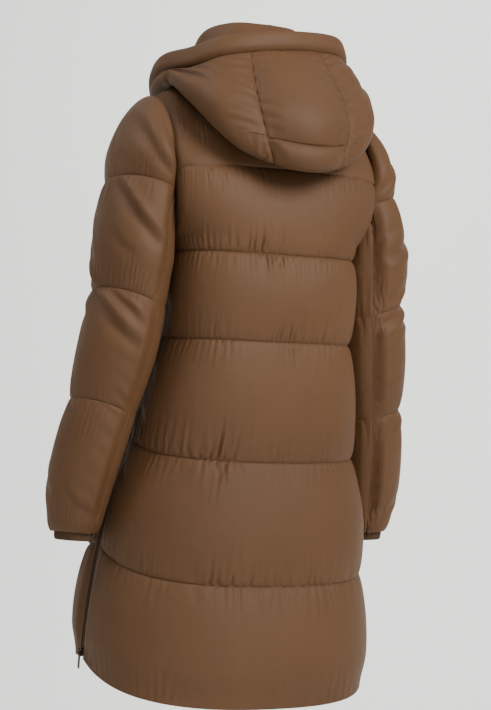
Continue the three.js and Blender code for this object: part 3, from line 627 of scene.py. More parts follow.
def hood_rise(lines, edge_of):
    lines = np.array(lines, float)

    def rise(u, v):
        i = np.clip(np.searchsorted(lines, v + 1e-6, side="right") - 1, 0, len(lines) - 2)
        f = (v - lines[i]) / (lines[i + 1] - lines[i])
        leg = lerp(1, 0.15, ease(v, 0.55, 0.15))
        return SEAM_WALL + LOFT["hood"] * puff(f) * leg * edge_of(u)

    return rise


def brim_rise(u, v):
    """A folded band, full to both its edges."""
    share = 0.09 + 0.91 * v / BAND
    roll = 0.85 * np.sqrt(1 - np.abs(2 * np.clip(share, 0, 1) - 1) ** 3.2)
    return SEAM_WALL + LOFT["brim"] * roll * ease((THROAT - np.abs(u)) / 10)


def collar_rise(u, v):
    ends = ease((1 - np.abs(u)) / 0.05)
    return SEAM_WALL - 0.5 + LOFT["collar"] * puff(v) * ends * ease(v, 0.1, 0.3)


HOOD_ROWS = stations([BAND, HOOD_LINE, HOOD_FOOT, 1], [44, 15, 30])


def hood_panel(name, turn_of, rise, u, rows, lines, gaps, full=0.3):
    def at(u, v):
        return hood_point(turn_of(u, v), v)

    panel(name, at, rise, u, rows, lines, gaps, lambda u, v, n: hood_facing(turn_of(u, v), v), full=full)


half = SEAM_GAP / 2
hood_panel(
    "hood_brim",
    lambda u, v: u,
    brim_rise,
    stations([-THROAT, -HOOD_CENTRE["brim"], HOOD_CENTRE["brim"], THROAT], [48, 21, 48], 0),
    np.linspace(0, BAND, 11),
    [BAND],
    (0, 0, 0, half),
    full=0.5,
)
hood_panel(
    "hood_centre",
    lambda u, v: u * hood_seam(v),
    hood_rise([BAND, HOOD_LINE, HOOD_FOOT, 1], lambda u: lip((1 - np.abs(u)) / 0.45)),
    np.linspace(-1, 1, 27),
    HOOD_ROWS,
    [BAND, HOOD_LINE, 1],
    (half, half, half, 0),
)
for name, sign in SIDES:
    hood_panel(
        f"hood_side_{name}",
        lambda u, v, sign=sign: sign * lerp(hood_seam(v), THROAT, u),
        hood_rise([BAND, HOOD_FOOT, 1], lambda u: lip(u / 0.16) * ease((1 - u) / 0.15)),
        np.linspace(0, 1, 61),
        HOOD_ROWS,
        [BAND, 1],
        (half, 0, half, 0),
    )
panel(
    "collar",
    lambda u, v: collar_point(u * COLLAR_END, v),
    collar_rise,
    np.linspace(-1, 1, 121),
    np.linspace(0, 1, 17),
    [],
    (0, 0, 0, 0),
    lambda u, v, n: unit(n * vec(1, 1, ease(v / 0.3))),
    side=-1,
)


# ---- creases, listed one by one
# Each is a valley with a soft roll on one side of it: its depth and its width in millimetres, and then the
# (across, row) points of its panel that it runs through.
HOOD_PINCHES = (0.235, 0.285, 0.335, 0.38, 0.43, 0.47, 0.505)


def outer_ripples(top, end, across, pitch):
    """Small folds from one edge of the lower sleeve, each lower than the last."""
    starts = [(-0.5 - 0.07 * (k % 3), top - pitch * k) for k in range(9)]
    return [(2.6 - 0.5 * (k % 2), 3.5, start, (across, end - pitch * k)) for k, start in enumerate(starts)]


def inner_ripples(top, end, pitch):
    """Small folds from the other edge, all the way down."""
    ends = [(0.55 + 0.08 * (k % 2), end - pitch * k) for k in range(12)]
    return [(2.2, 3.5, (0.9, top - pitch * k), point) for k, point in enumerate(ends)]


def pinches(depth, width, edge, middle, end, step, drops):
    """Small folds beside a long seam of the hood; the middle of every other one is a step further on."""
    rows = []
    for k, v in enumerate(HOOD_PINCHES):
        bend = (middle + step[0] * (k % 2), v - drops[0] + step[1] * (k % 2))
        rows.append((depth, width, (edge, v), bend, (end, v - drops[1])))
    return rows


SLEEVE_CREASES = [
    (7, 7, (-0.1, 3.5), (-0.4, 3.36), (-0.66, 3.22), (-0.9, 3.1)),
    (3.5, 4, (-0.3, 3.5), (-0.52, 3.36), (-0.68, 3.3)),
    (3, 4, (-0.62, 3.62), (-0.78, 3.42), (-0.93, 3.3)),
    (3, 5, (0.1, 3.3), (-0.1, 3.18), (-0.36, 3.08)),
    (8, 8, (-0.12, 2.97), (-0.36, 2.8), (-0.54, 2.63), (-0.74, 2.47), (-0.86, 2.4)),
    (3, 5, (-0.2, 2.55), (-0.4, 2.4), (-0.56, 2.3)),
    (3, 6, (0.35, 2.75), (0.2, 2.5), (0.02, 2.3)),
    (9, 8, (0.3, 2.22), (0.05, 2.0), (-0.3, 1.8), (-0.56, 1.64), (-0.8, 1.57)),
    (4, 5, (-0.3, 1.98), (-0.55, 1.86), (-0.72, 1.82)),
    (3, 4, (-0.5, 1.93), (-0.7, 1.8), (-0.86, 1.76)),
    (5, 6, (0.5, 1.98), (0.3, 1.85), (0.1, 1.74)),
    (4, 5, (0.2, 1.06), (-0.02, 0.94), (-0.2, 0.88)),
    (3, 5, (-0.3, 0.34), (-0.55, 0.22), (-0.75, 0.17)),
    (3, 5, (0.3, 0.5), (0.1, 0.36), (-0.1, 0.28)),
    *outer_ripples(1.46, 1.38, -0.9, 0.155),
    *inner_ripples(2.9, 2.84, 0.21),
]
CREASES = {
    "sleeve_outer_left": SLEEVE_CREASES,
    "sleeve_outer_right": [
        (8, 8, (0.1, 2.02), (-0.3, 1.99), (-0.62, 1.9), (-0.96, 1.84)),
        (5, 6, (0.0, 1.9), (-0.36, 1.84), (-0.8, 1.74)),
        (4, 5, (-0.3, 2.2), (-0.6, 2.08), (-0.9, 2.03)),
        (6, 7, (0.0, 2.8), (-0.3, 2.6), (-0.6, 2.46), (-0.86, 2.4)),
        (3, 5, (-0.5, 2.8), (-0.7, 2.66), (-0.9, 2.58)),
        (5, 6, (-0.1, 3.4), (-0.4, 3.3), (-0.7, 3.16), (-0.92, 3.08)),
        (5, 6, (0.05, 1.04), (-0.3, 0.96), (-0.6, 0.9)),
        (3, 5, (-0.2, 0.3), (-0.5, 0.2), (-0.8, 0.16)),
        *outer_ripples(1.5, 1.44, -0.92, 0.16),
        *inner_ripples(2.86, 2.8, 0.2),
    ],
    "back_panel": [
        (2.4, 2.6, (0.355, 1.98), (0.352, 2.06), (0.344, 2.17)),
        (2, 2.6, (0.352, 2.04), (0.364, 2.13)),
        (2.4, 2.6, (0.07, 1.98), (0.07, 2.06), (0.08, 2.15)),
        (3.4, 3, (0.37, 0.98), (0.37, 1.06), (0.38, 1.17)),
        (3, 3, (0.37, 1.02), (0.366, 0.93), (0.35, 0.84)),
        (2.6, 3, (0.13, 0.98), (0.13, 1.11)),
        (2.6, 3, (0.1, 1.02), (0.11, 0.94), (0.1, 0.88)),
        (3.2, 3, (-0.45, 0.97), (-0.45, 1.05), (-0.44, 1.16)),
        (2.8, 3, (-0.44, 1.02), (-0.45, 0.94), (-0.46, 0.86)),
        (2, 2.6, (-0.2, 2.98), (-0.2, 3.12)),
        (2, 2.6, (0.46, 2.97), (0.47, 3.14)),
        (2, 2.6, (0.2, 3.98), (0.2, 4.1)),
        (4, 6, (0.96, 3.5), (0.86, 3.36), (0.76, 3.3)),
        (4, 6, (0.96, 2.94), (0.88, 2.72), (0.8, 2.6)),
        (4, 6, (0.97, 2.5), (0.9, 2.3), (0.8, 2.2)),
        (4, 6, (0.96, 1.9), (0.88, 1.7), (0.8, 1.62)),
        (4, 6, (-0.96, 3.1), (-0.86, 3.2), (-0.74, 3.22)),
        (4, 6, (-0.96, 2.9), (-0.88, 2.7), (-0.76, 2.62)),
        (4, 6, (-0.96, 4.1), (-0.86, 4.26), (-0.72, 4.36)),
        (4, 6, (0.96, 4.1), (0.88, 4.3), (0.76, 4.4)),
    ],
    "hood_side_left": [
        (5, 6, (0.5, 0.2), (0.32, 0.27), (0.16, 0.36)),
        (4, 5, (0.3, 0.18), (0.2, 0.24), (0.08, 0.33)),
        (4, 5, (0.16, 0.17), (0.1, 0.25)),
        *pinches(2.4, 3.5, 0.012, 0.06, 0.13, (0.02, 0), (0.012, 0.008)),
    ],
    "hood_side_right": [
        (5, 6, (0.42, 0.2), (0.28, 0.28), (0.12, 0.38)),
        (4, 5, (0.2, 0.17), (0.1, 0.26)),
        *pinches(2.8, 4, 0.012, 0.07, 0.15, (0.03, 0), (0.02, 0.014)),
    ],
    "hood_centre": [
        *pinches(3.4, 4, 0.985, 0.85, 0.68, (-0.06, 0), (0.01, 0.006)),
        *pinches(3.4, 4, -0.985, -0.8, -0.62, (0, 0.02), (0.02, 0.02)),
        (3, 4, (0.96, 0.545), (0.8, 0.565), (0.66, 0.6)),
        (2.4, 3, (0.9, 0.535), (0.84, 0.56)),
        (3, 4, (-0.96, 0.545), (-0.82, 0.565)),
    ],
}


def crease(p, depth, width, *path):
    """Presses one crease into a panel; it fades out at its ends and keeps off the seams."""
    way = np.sign(p["u"][0, -1] - p["u"][0, 0])
    u, v = p["u"][0] * way, p["v"][:, 0]
    share = np.linspace(0, 1, 40)
    across, up = (np.interp(share, np.linspace(0, 1, len(path)), values) for values in zip(*path))
    j = np.interp(across * way, u, np.arange(len(u)))
    i = np.interp(up, v, np.arange(len(v)))
    i0, j0 = np.minimum(i.astype(int), len(v) - 2), np.minimum(j.astype(int), len(u) - 2)
    a, b = (i - i0)[:, None], (j - j0)[:, None]
    cloth = p["outside"]
    below, above = (lerp(cloth[row, j0], cloth[row, j0 + 1], b) for row in (i0, i0 + 1))
    line = lerp(below, above, a)
    flat = cloth.reshape(-1, 3)
    apart = np.linalg.norm(flat[:, None] - line[None], axis=-1)
    near = apart.argmin(1)
    away = np.take_along_axis(apart, near[:, None], 1)[:, 0]
    along = unit(np.gradient(line, axis=0))[near]
    falling = np.sign(line[0, 2] - line[-1, 2] + 1e-9)
    beyond = dot(np.cross(along, flat - line[near]), p["normal"].reshape(-1, 3)) * falling
    s = np.where(beyond > 0, away, -away)
    valley = np.exp(-((s / np.where(s > 0, 0.65 * width, 1.6 * width)) ** 2))
    roll = np.exp(-(((s - 1.2 * width) / (0.8 * width)) ** 2))
    fold = 0.75 * roll - valley
    place = share[near]
    fade = np.sin(math.pi * np.clip(place * 0.94 + 0.03, 0, 1)) ** 0.6 * (place > 0) * (place < 1)
    room = np.clip((p["height"].reshape(-1) - SEAM_WALL) / 5, 0, 1)
    moved = (depth * fold * fade * room).reshape(cloth.shape[:2])
    for _ in range(2):
        moved[1:-1] = 0.25 * (moved[:-2] + moved[2:]) + 0.5 * moved[1:-1]
        moved[:, 1:-1] = 0.25 * (moved[:, :-2] + moved[:, 2:]) + 0.5 * moved[:, 1:-1]
    p["outside"] = cloth + p["normal"] * moved[..., None]


for p in panels:
    for row in CREASES.get(p["name"], []):
        crease(p, *row)


# ---- the down
FULLNESS = {"across": 0.006, "up": 0.004}  # cloth that each channel has beyond its rounded shape
MOST_GATHERED = 0.12
LENGTHWISE = {"hood": 0.13, "sleeve_outer": 0.03, "back": 0.03, "front": 0.03}  # gathered along side seams
FADE = 20  # mm from a side seam over which that dies away
SPRING = {"hold": 0.01, "place": 0.002, "bend": 0.03, "diagonal": 0.35}  # shares put right in a round
DOWN = {"least": 2.2, "over": 6}  # mm of it that stays, and that the cloth may rise beyond its shape
rng = np.random.default_rng(7)


def widening(p):
    """How much longer than its place each row's cloth is, and how much longer up the panel. It is cut as
    wide as the fullest row of its channel, so it has most to gather beside the seams."""
    across = lengths(p["inside"], 1)
    base, own = across[:, -1], lengths(p["target"], 1)[:, -1]
    lines = sorted(set([p["v"][0, 0], *p["lines"], p["v"][-1, 0]]))
    v = p["v"][:, 0]
    extra = np.zeros_like(v)
    for low, high in zip(lines[:-1], lines[1:]):
        rows = (v >= low - 1e-6) & (v <= high + 1e-6)
        fullest = np.max(own[rows] / base[rows])
        extra[rows] = np.maximum(extra[rows], base[rows] * fullest / own[rows] - 1)
    gathers = np.minimum(1.7 * extra + FULLNESS["across"], MOST_GATHERED) * p["full"]
    if p["lines"] is LINES:
        gathers *= lerp(0.3, 1, ease(v / 0.4))  # the hem is turned over flat
    uneven = sum(np.sin(across / size + 9 * v[:, None] // 3 + k) for k, size in enumerate((61, 23, 14)))
    wide = gathers[:, None] * np.clip(0.75 + 0.45 * uneven, 0.15, 2)
    upward = lengths(p["inside"], 0)
    aside = np.minimum(across, across[:, -1:] - across)
    uneven = sum(np.sin(upward / size + k) for k, size in enumerate((31, 12)))
    tall = next((n for key, n in LENGTHWISE.items() if p["name"].startswith(key)), 0)
    return 1 + wide, 1 + tall * np.exp(-aside / FADE) * np.clip(0.8 + 0.6 * uneven, 0.2, 2)


def tie(points, free, a, b, rest, stiff):
    """Moves the points at a and b along the line between them until they are rest apart."""
    span = points[b] - points[a]
    long = np.sqrt((span**2).sum(-1))
    wa, wb = free[a], free[b]
    move = stiff * (long - rest) / np.maximum(long * (wa + wb), 1e-6)
    step = span * move[..., None]
    points[a] += step * wa[..., None]
    points[b] -= step * wb[..., None]


def settle(p, rounds, shake):
    """Lets the cloth buckle between its seams over the soft down, which holds it near its place."""
    points, target, normal = p["points"], p["target"], p["normal"]
    free = (~p["seams"]).astype(float)
    wide, tall = widening(p)
    along, above = unit(np.gradient(target, axis=1)), unit(np.gradient(target, axis=0))
    rise = dot(target - p["inside"], normal)
    points = points + normal * (rng.normal(0, shake, free.shape) * free)[..., None]
    pairs = []

    def add(a, b, stiff=1):
        edge = target[b] - target[a]
        sideways = dot(edge, along[a]) * (wide[a] - 1)
        upward = dot(edge, above[a]) * (tall[a] - 1)
        edge = edge * (1 + FULLNESS["up"]) + along[a] * sideways[..., None] + above[a] * upward[..., None]
        pairs.append((a, b, np.linalg.norm(edge, axis=-1), stiff))

    rows, cols = free.shape
    for start in (0, 1):
        n = (cols - start) // 2 * 2
        add(np.s_[:, start : start + n : 2], np.s_[:, start + 1 : start + n : 2])
        n = (rows - start) // 2 * 2
        low, high = slice(start, start + n, 2), slice(start + 1, start + n, 2)
        add(np.s_[low, :], np.s_[high, :])
        add(np.s_[low, : cols - 1], np.s_[high, 1:], SPRING["diagonal"])
        add(np.s_[low, 1:], np.s_[high, : cols - 1], SPRING["diagonal"])
    for _ in range(rounds):
        for a, b, rest, stiff in pairs:
            tie(points, free, a, b, rest, stiff)
        off = target - points
        points += normal * (SPRING["hold"] * dot(off, normal) * free)[..., None]
        points += off * (SPRING["place"] * free)[..., None]
        for axis in (0, 1):
            moved = points - target
            m = np.moveaxis(moved, axis, 0)
            bend = np.zeros_like(m)
            bend[1:-1] = 0.5 * (m[:-2] + m[2:]) - m[1:-1]
            points += np.moveaxis(bend, 0, axis) * (SPRING["bend"] * free)[..., None]
        depth = dot(points - p["inside"], normal)
        short = np.maximum(DOWN["least"] - depth, 0) * free
        points += normal * short[..., None]
        high = np.maximum(depth - rise - DOWN["over"], 0) * free
        points -= normal * (0.5 * high)[..., None]
    p["points"] = points


def finer(values, axis):
    """A new station halfway between all others, on smooth curves through them."""
    q = np.moveaxis(np.asarray(values, float), axis, 0)
    before = np.concatenate([q[:1] * 2 - q[1:2], q[:-2]])
    after = np.concatenate([q[2:], q[-1:] * 2 - q[-2:-1]])
    out = np.empty((2 * len(q) - 1,) + q.shape[1:])
    out[0::2] = q
    out[1::2] = (q[:-1] + q[1:]) * 0.5625 - (before + after) * 0.0625
    return np.moveaxis(out, 0, axis)


def refine(p):
    """Doubles a panel's columns."""
    for key in ("u", "v", "inside", "target", "points"):
        p[key] = finer(p[key], 1)
    p["normal"] = unit(finer(p["normal"], 1))
    wide = np.zeros((p["seams"].shape[0], 2 * p["seams"].shape[1] - 1), bool)
    wide[:, 0::2] = p["seams"]
    wide[:, 1::2] = p["seams"][:, 1:] & p["seams"][:, :-1]
    p["seams"] = wide


for p in panels:
    p["target"] = p["outside"]
    p["points"] = p["target"].copy()
    settle(p, 160, 0.6)
    refine(p)
    settle(p, 90, 0.25)


# ---- materials
def new_material(name):
    material = bpy.data.materials.new(name)
    material.use_nodes = True
    tree = material.node_tree
    return material, tree, next(n for n in tree.nodes if n.type == "BSDF_PRINCIPLED")


def fill(tree, made, values):
    """Sets a node's inputs and settings. Where a value is another node's output, the two are joined."""
    for key, value in values.items():
        if isinstance(value, bpy.types.NodeSocket):
            tree.links.new(value, made.inputs[key])
        elif isinstance(key, int) or key in made.inputs:
            made.inputs[key].default_value = value
        else:
            setattr(made, key, value)
    return made


def node(tree, kind, *first, **named):
    """A new node; the first values go to its first inputs."""
    return fill(tree, tree.nodes.new(kind), named | dict(enumerate(first)))


def noise(tree, place, scale, detail, rough, distortion=0.0):
    values = {"Vector": place, "Scale": scale, "Detail": detail, "Roughness": rough, "Distortion": distortion}
    return node(tree, "ShaderNodeTexNoise", **values).outputs["Fac"]


def colour(tree, value, *stops):
    """A colour that follows the value between two stops, each of them a position and a colour."""
    ramp = node(tree, "ShaderNodeValToRGB", value)
    for stop, (position, shade) in zip(ramp.color_ramp.elements, stops):
        stop.position, stop.color = position, (*shade, 1)
    return ramp.outputs["Color"]


def spread(tree, value, low, high):
    return node(tree, "ShaderNodeMapRange", value, 0, 1, low, high).outputs["Result"]


def relief(tree, height, strength, depth, **below):
    made = node(tree, "ShaderNodeBump", Height=height, Strength=strength, Distance=depth, **below)
    return made.outputs["Normal"]


def nylon():
    """Faintly uneven in colour and gloss, softly crinkled, and woven along the cloth's own UV map."""
    material, tree, shader = new_material("nylon_shell")
    place = node(tree, "ShaderNodeTexCoord").outputs["Object"]
    broad, fine = noise(tree, place, 5, 3, 0.5), noise(tree, place, 70, 4, 0.6)
    mix = node(tree, "ShaderNodeMath", fine, 0.35, broad, operation="MULTIPLY_ADD").outputs[0]
    cloth = node(tree, "ShaderNodeUVMap", uv_map="cloth").outputs["UV"]
    threads = []
    for turn in (0.0, math.pi / 2):
        turned = node(tree, "ShaderNodeMapping", cloth, Rotation=(0, 0, turn)).outputs["Vector"]
        wave = node(tree, "ShaderNodeTexWave", turned, Scale=520, Distortion=0.4, Detail=1)
        threads.append(wave.outputs["Fac"])
    weave = node(tree, "ShaderNodeMath", *threads, operation="MULTIPLY").outputs[0]
    crinkle = relief(tree, noise(tree, place, 38, 5, 0.55, 0.6), 0.35, 0.0025)
    dark, light = (0.45, (0.101, 0.045, 0.0158)), (0.95, (0.128, 0.0585, 0.0222))
    look = {
        "Base Color": colour(tree, mix, dark, light),
        "Roughness": spread(tree, fine, 0.54, 0.66),
        "Specular IOR Level": 0.33,
        "Sheen Weight": 0.05,
        "Sheen Roughness": 0.45,
        "Sheen Tint": (0.9, 0.62, 0.42, 1),
        "Normal": relief(tree, weave, 0.2, 0.0003, Normal=crinkle),
    }
    fill(tree, shader, look)
    return material


def plain(name, low, high, rough, grain, bump=0.1, metallic=0, stretch=(1, 1, 1)):
    """A material whose colour, roughness and surface vary with one grain in the object's own space."""
    material, tree, shader = new_material(name)
    place = node(tree, "ShaderNodeTexCoord").outputs["Object"]
    stretched = node(tree, "ShaderNodeMapping", place, Scale=stretch).outputs["Vector"]
    value = noise(tree, stretched, grain, 4, 0.6)
    look = {
        "Base Color": colour(tree, value, (0.3, low), (0.7, high)),
        "Roughness": spread(tree, value, *rough),
        "Normal": relief(tree, value, bump, 0.0004),
        "Metallic": metallic,
    }
    fill(tree, shader, look)
    return material


SHELL = nylon()
RIBBED = (0.062, 0.029, 0.012), (0.09, 0.043, 0.019), (0.8, 0.95)
KNIT = plain("rib_knit", *RIBBED, 900, 0.6, stretch=(1, 1, 0.5))
WEAVE = (0.044, 0.024, 0.012), (0.066, 0.036, 0.019), (0.7, 0.85)
TAPE = plain("zip_tape_weave", *WEAVE, 1400, 0.5, stretch=(1, 1, 0.4))
COIL = plain("zip_coil", (0.036, 0.021, 0.012), (0.05, 0.03, 0.018), (0.32, 0.42), 500)
PLATE = (0.085, 0.066, 0.052), (0.125, 0.1, 0.08), (0.26, 0.4)
METAL = plain("dark_plated_metal", *PLATE, 700, metallic=1, stretch=(1, 1, 0.1))
THREAD = plain("quilting_thread", (0.088, 0.04, 0.016), (0.125, 0.06, 0.026), (0.5, 0.62), 2500, 0.6)


# ---- from grids to closed pieces
INSIDE_STEP = 8  # one in so many of the outside's stations is kept inside
SHARP = 58  # degrees between faces that meet in a crisp edge


def placed(name, data):
    made = bpy.data.objects.new(name, data)
    bpy.context.scene.collection.objects.link(made)
    return made


def coat_piece(name, mesh, slot):
    """An object that shows the mesh and rides on the coat."""
    piece = placed(name, mesh)
    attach(piece, "coat")
    return piece


def cloth_piece(name, outside, inside):
    """A closed wall of cloth between a fine outer grid and the same grid inside, taken more coarsely."""
    rows, cols = outside.shape[:2]
    ri, ci = (np.array([*range(0, count - 1, INSIDE_STEP), count - 1]) for count in (rows, cols))
    kept = np.ix_(ri, ci)
    inner = inside[kept]
    mesh = bpy.data.meshes.new(name)
    out_id = np.arange(rows * cols).reshape(rows, cols)
    in_id = rows * cols + np.arange(len(ri) * len(ci)).reshape(len(ri), len(ci))
    verts = np.concatenate([outside.reshape(-1, 3), inner.reshape(-1, 3)]) / 1000

    def quads(g, flip):
        q = np.stack([g[:-1, :-1], g[:-1, 1:], g[1:, 1:], g[1:, :-1]], -1).reshape(-1, 4)
        return (q[:, ::-1] if flip else q).tolist()

    faces = quads(out_id, False) + quads(in_id, True)

    def rim(outer_edge, inner_edge, marks, flip):
        for k in range(len(marks) - 1):
            face = [inner_edge[k + 1], inner_edge[k]] + list(outer_edge[marks[k] : marks[k + 1] + 1])
            faces.append([int(i) for i in (face[::-1] if flip else face)])

    rim(out_id[0], in_id[0], ci, True)
    rim(out_id[-1], in_id[-1], ci, False)
    rim(out_id[:, 0], in_id[:, 0], ri, False)
    rim(out_id[:, -1], in_id[:, -1], ri, True)
    mesh.from_pydata(verts.tolist(), [], faces)
    mesh.update()
    work = bmesh.new()
    work.from_mesh(mesh)
    if work.calc_volume(signed=True) < 0:
        bmesh.ops.reverse_faces(work, faces=work.faces[:])
    layer = work.loops.layers.uv.new("cloth")
    uv = np.stack([lengths(outside, 1), lengths(outside, 0)], -1) / 1000
    flat_uv = np.concatenate([uv.reshape(-1, 2), uv[kept].reshape(-1, 2)])
    work.verts.ensure_lookup_table()
    for face in work.faces:
        face.smooth = True
        for loop in face.loops:
            loop[layer].uv = flat_uv[loop.vert.index]
    work.to_mesh(mesh)
    work.free()
    mesh.set_sharp_from_angle(angle=math.radians(SHARP))
    mesh.materials.append(SHELL)
    return coat_piece(name, mesh, "shell")


for p in panels:
    piece = cloth_piece("cloth_" + p["name"], p["points"], p["inside"])
    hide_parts(p["name"])

# ---- stitches, cuffs and zips
def mesh_piece(name, verts, faces, material, slot, smooth=False):
    """One object from points in millimetres."""
    mesh = bpy.data.meshes.new(name)
    mesh.from_pydata((np.concatenate(verts) / 1000).tolist(), [], faces)
    mesh.materials.append(material)
    for polygon in mesh.polygons:
        polygon.use_smooth = smooth
    work = bmesh.new()
    work.from_mesh(mesh)
    bmesh.ops.recalc_face_normals(work, faces=work.faces[:])
    work.to_mesh(mesh)
    work.free()
    return coat_piece(name, mesh, slot)


def at_lengths(line, values, where):
    """Values along a line of points, read at the given running lengths."""
    run = lengths(line, 0)
    return np.stack([np.interp(where, run, values[:, k]) for k in range(3)], -1)


def band(low, high):
    """The four faces between two rings of four points, which start at low and high."""
    return [(low + c, low + (c + 1) % 4, high + (c + 1) % 4, high + c) for c in range(4)]


def beads(places, alongs, outs, profile):
    """A small four-sided body at each place; the profile gives along, half width and half height."""
    sides = np.cross(alongs, outs)
    verts, faces = [], []
    count = len(profile)
    for k in range(len(places)):
        rows = []
        for step, width, height in profile:
            centre, side, out = places[k] + alongs[k] * step, sides[k] * width, outs[k] * height
            rows += [centre + side, centre + out, centre - side, centre - out]
        verts.append(np.array(rows))
        base = 4 * count * k
        for start in range(base, base + 4 * count - 4, 4):
            faces += band(start, start + 4)
        faces += [tuple(base + c for c in range(4)), tuple(base + 4 * count - 1 - c for c in range(4))]
    return verts, faces


STITCH = {"pitch": 4.2, "half": 1.75, "thick": 0.3, "end": 3, "raised": 0.15}
places, alongs, outs = [], [], []
for p in panels:
    rows = [int(np.argmin(np.abs(p["v"][:, 0] - line))) for line in p["lines"]]
    for row in [r for r in rows if 0 < r < len(p["v"]) - 1]:
        line = p["points"][row]
        where = np.arange(STITCH["end"], lengths(line, 0)[-1] - STITCH["end"], STITCH["pitch"])
        spots = at_lengths(line, line, where)
        face = unit(at_lengths(line, p["normal"][row], where))
        places.append(spots + face * STITCH["raised"])
        alongs.append(unit(at_lengths(line, line, where + 1) - spots))
        outs.append(face)
half, thick = STITCH["half"], STITCH["thick"]
profile = [(-half, 0.1, 0.05), (-half / 2, thick, thick), (half / 2, thick, thick), (half, 0.1, 0.05)]
stitches = beads(*(np.concatenate(rows) for rows in (places, alongs, outs)), profile)
mesh_piece("quilting_thread", *stitches, THREAD, "shell", True)

CUFF_WALL, CUFF_END = 2.5, -10
RIBS = {"count": 84, "deep": 0.45}


def rib_cuff(name, sign):
    """A ribbed tube that follows the sleeve's end, with a rolled edge and a faint wave."""
    turns = np.linspace(0, 360, 4 * RIBS["count"], endpoint=False)
    up = np.concatenate([np.linspace(22, -9.2, 27), [-9.8, CUFF_END]])
    inside = np.interp(-up, -CUFF["up"], CUFF["inside"])[:, None]
    tt, uu = np.meshgrid(turns, up)
    z = SLEEVE_LINES[0] + uu
    ring_points = sleeve_ring(tt, np.maximum(z, SLEEVE["z"].min()))
    centre = sleeve_axis(z, ring_points[..., 2] + np.minimum(0, uu))
    out = ring_points - centre
    out[..., 2] = 0
    size = np.linalg.norm(out, axis=-1)
    rib = RIBS["deep"] * cos(tt * RIBS["count"]) * np.clip((uu - CUFF_END) / 2, 0, 1)
    wave = 0.25 * np.sin(np.radians(tt) * 3 + uu / 5)
    rolled = 0.9 * np.clip(CUFF_END + 1 - uu, 0, 1) ** 2

    def grid(wall):
        return mirrored(centre + out * ((size - inside - wall) / size)[..., None], sign)

    outer, inner = grid(rolled - rib - wave), grid(CUFF_WALL - rolled)
    index = np.arange(2 * outer[..., 0].size).reshape(2, *outer.shape[:2])
    loop = np.concatenate([index[0], index[1][::-1], index[0][:1]])
    after = np.roll(loop, -1, axis=1)
    faces = np.stack([loop[:-1], after[:-1], after[1:], loop[1:]], -1).reshape(-1, 4).tolist()
    verts = [outer.reshape(-1, 3), inner.reshape(-1, 3)]
    piece = mesh_piece(f"rib_cuff_{name}", verts, faces, KNIT, "cuff_cloth", True)
    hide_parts(f"cuff_{name}")
    round_cuff = float(lengths(outer[-6], 0)[-1]) / 1000


for name, sign in SIDES:
    rib_cuff(name, sign)


TOOTH = {"pitch": 1.5, "long": 1.8}
SEWN = {"half": 9, "behind": 0.9, "thick": 0.7}


def zip_teeth(name, line, way_out):
    """The coil's turns, lying over both halves of a closed zip."""
    where = np.arange(2, lengths(line, 0)[-1] - 2, TOOTH["pitch"])
    half = TOOTH["long"] / 2
    spots = at_lengths(line, line, where)
    up = unit(at_lengths(line, line, where + 1) - spots)
    across = unit(np.cross(up, way_out))
    out = unit(np.cross(across, up))
    verts, faces = [], []
    for sign in (-1, 1):
        middle = spots + across * (sign * (half + 0.1)) + out * (ZIP["sunk"] + ZIP["coil"] + 0.05)
        tooth = [(-half, 0.42, 0.3), (0, 0.5, 0.45), (half, 0.42, 0.3)]
        more, quads = beads(middle, across * sign, out, tooth)
        start = sum(len(v) for v in verts)
        verts += more
        faces += [tuple(start + i for i in q) for q in quads]
    return mesh_piece(name, verts, faces, COIL, "zip_tape", True)


def sewn_edges(name, line, way_out):
    """The edges of a side zip's tapes, which lie behind the panels that they are sewn to."""
    ahead = unit(np.gradient(line, axis=0))
    across = unit(np.cross(ahead, way_out))
    out = unit(np.cross(across, ahead))
    half, front, back = SEWN["half"], -SEWN["behind"], -SEWN["behind"] - SEWN["thick"]
    corners = [(-half, front), (half, front), (half, back), (-half, back)]
    verts = np.stack([line + across * a + out * o for a, o in corners], 1).reshape(-1, 3)
    last = len(verts) - 4
    faces = [face for i in range(0, last, 4) for face in band(i, i + 4)]
    faces += [(3, 2, 1, 0), (last, last + 1, last + 2, last + 3)]
    return mesh_piece(name, [verts], faces, TAPE, "zip_tape")


zip_teeth("front_zip_coil", front_line(np.linspace(0.03, FRONT_TOP, 400)), vec(0, -1, 0))
for side, sign in SIDES:
    seam = body_point("back", sign, np.linspace(0, 1.6, 300))
    above = seam[:, 2] - seam[0, 2]
    seam = seam[(above > 1.5) & (above < ZIP["side_length"] - 3)]
    outward = vec(sign, 0, 0)
    zip_teeth(f"side_zip_{side}_coil", seam, outward)
    sewn_edges(f"side_zip_{side}_sewn_edges", seam, outward)

# The tapes, sliders and pulls are shown as the solids themselves.
for name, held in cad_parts.items():
    if "tape" in name or "slider" in name or "pull" in name:
        held.data.materials.clear()
        held.data.materials.append(TAPE if "tape" in name else METAL)

# ---- stage, light and camera
def area_light(name, spot, target, size, power, shade=(1, 1, 1)):
    data = bpy.data.lights.new(name, "AREA")
    data.shape, data.size, data.energy, data.color = "SQUARE", size, power, shade
    lamp = placed(name, data)
    lamp.location = spot
    lamp.rotation_euler = (target - spot).to_track_quat("-Z", "Y").to_euler()


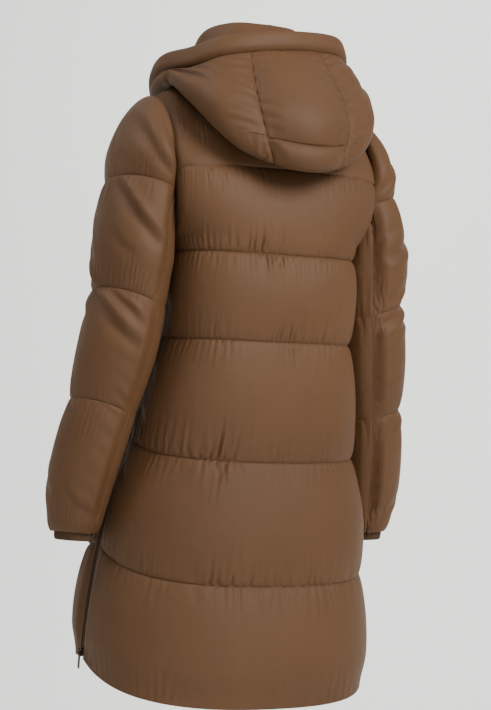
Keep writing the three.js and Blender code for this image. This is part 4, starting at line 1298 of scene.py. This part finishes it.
YAW = math.radians(28)  # how far the camera is turned from straight behind
TOWARD = mathutils.Vector((math.sin(YAW), math.cos(YAW), 0))
RIGHT = mathutils.Vector((-math.cos(YAW), math.sin(YAW), 0))


def place(right, toward, height):
    """A point in metres, measured as the camera looks at the coat."""
    return RIGHT * right + TOWARD * toward + mathutils.Vector((0, 0, height))


FLOOR = {"level": -1.42, "half": 30, "front": 30, "back": -4, "bend": 2.5, "top": 9}
radius, foot = FLOOR["bend"], FLOOR["back"]
angles = np.linspace(0.1, math.pi / 2, 12)
bend = [(foot - radius * math.sin(a), radius - radius * math.cos(a)) for a in angles]
steps = [(FLOOR["front"], 0.0), (foot, 0.0), *bend, (foot - radius, FLOOR["top"])]
floor_points = [place(r, t, FLOOR["level"] + h) for t, h in steps for r in (-FLOOR["half"], FLOOR["half"])]
floor_faces = [(k, k + 1, k + 3, k + 2) for k in range(0, 2 * len(steps) - 2, 2)]
floor_mesh = bpy.data.meshes.new("floor")
floor_mesh.from_pydata([tuple(p) for p in floor_points], [], floor_faces)
for polygon in floor_mesh.polygons:
    polygon.use_smooth = True
floor = placed("floor", floor_mesh)
paper, tree, shader = new_material("pale_paper")
fill(tree, shader, {"Base Color": (0.86, 0.87, 0.83, 1), "Roughness": 0.9})
floor_mesh.materials.append(paper)

world = bpy.data.worlds.new("studio")
world.use_nodes = True
fill(world.node_tree, world.node_tree.nodes["Background"], {"Color": (0.92, 0.94, 1.0, 1), "Strength": 0.5})
bpy.context.scene.world = world
area_light("key", place(1.9, 2.1, 1.1), place(0, 0, -0.45), 1.4, 102, (1, 0.98, 0.95))
area_light("top", place(-1.6, 0.9, 2.2), place(0, 0, -0.3), 1.2, 33, (1, 0.99, 0.97))
area_light("back", place(0.8, -2.4, 2.2), place(0.3, -7.0, 0.2), 3, 300)

camera = placed("camera", bpy.data.cameras.new("camera"))
camera.data.lens, camera.data.sensor_width = 99.7, 36
camera.location = place(-0.011, 3.0, -0.669)
camera.rotation_euler = (math.radians(94.89), 0, math.radians(151.92))
bpy.context.scene.camera = camera
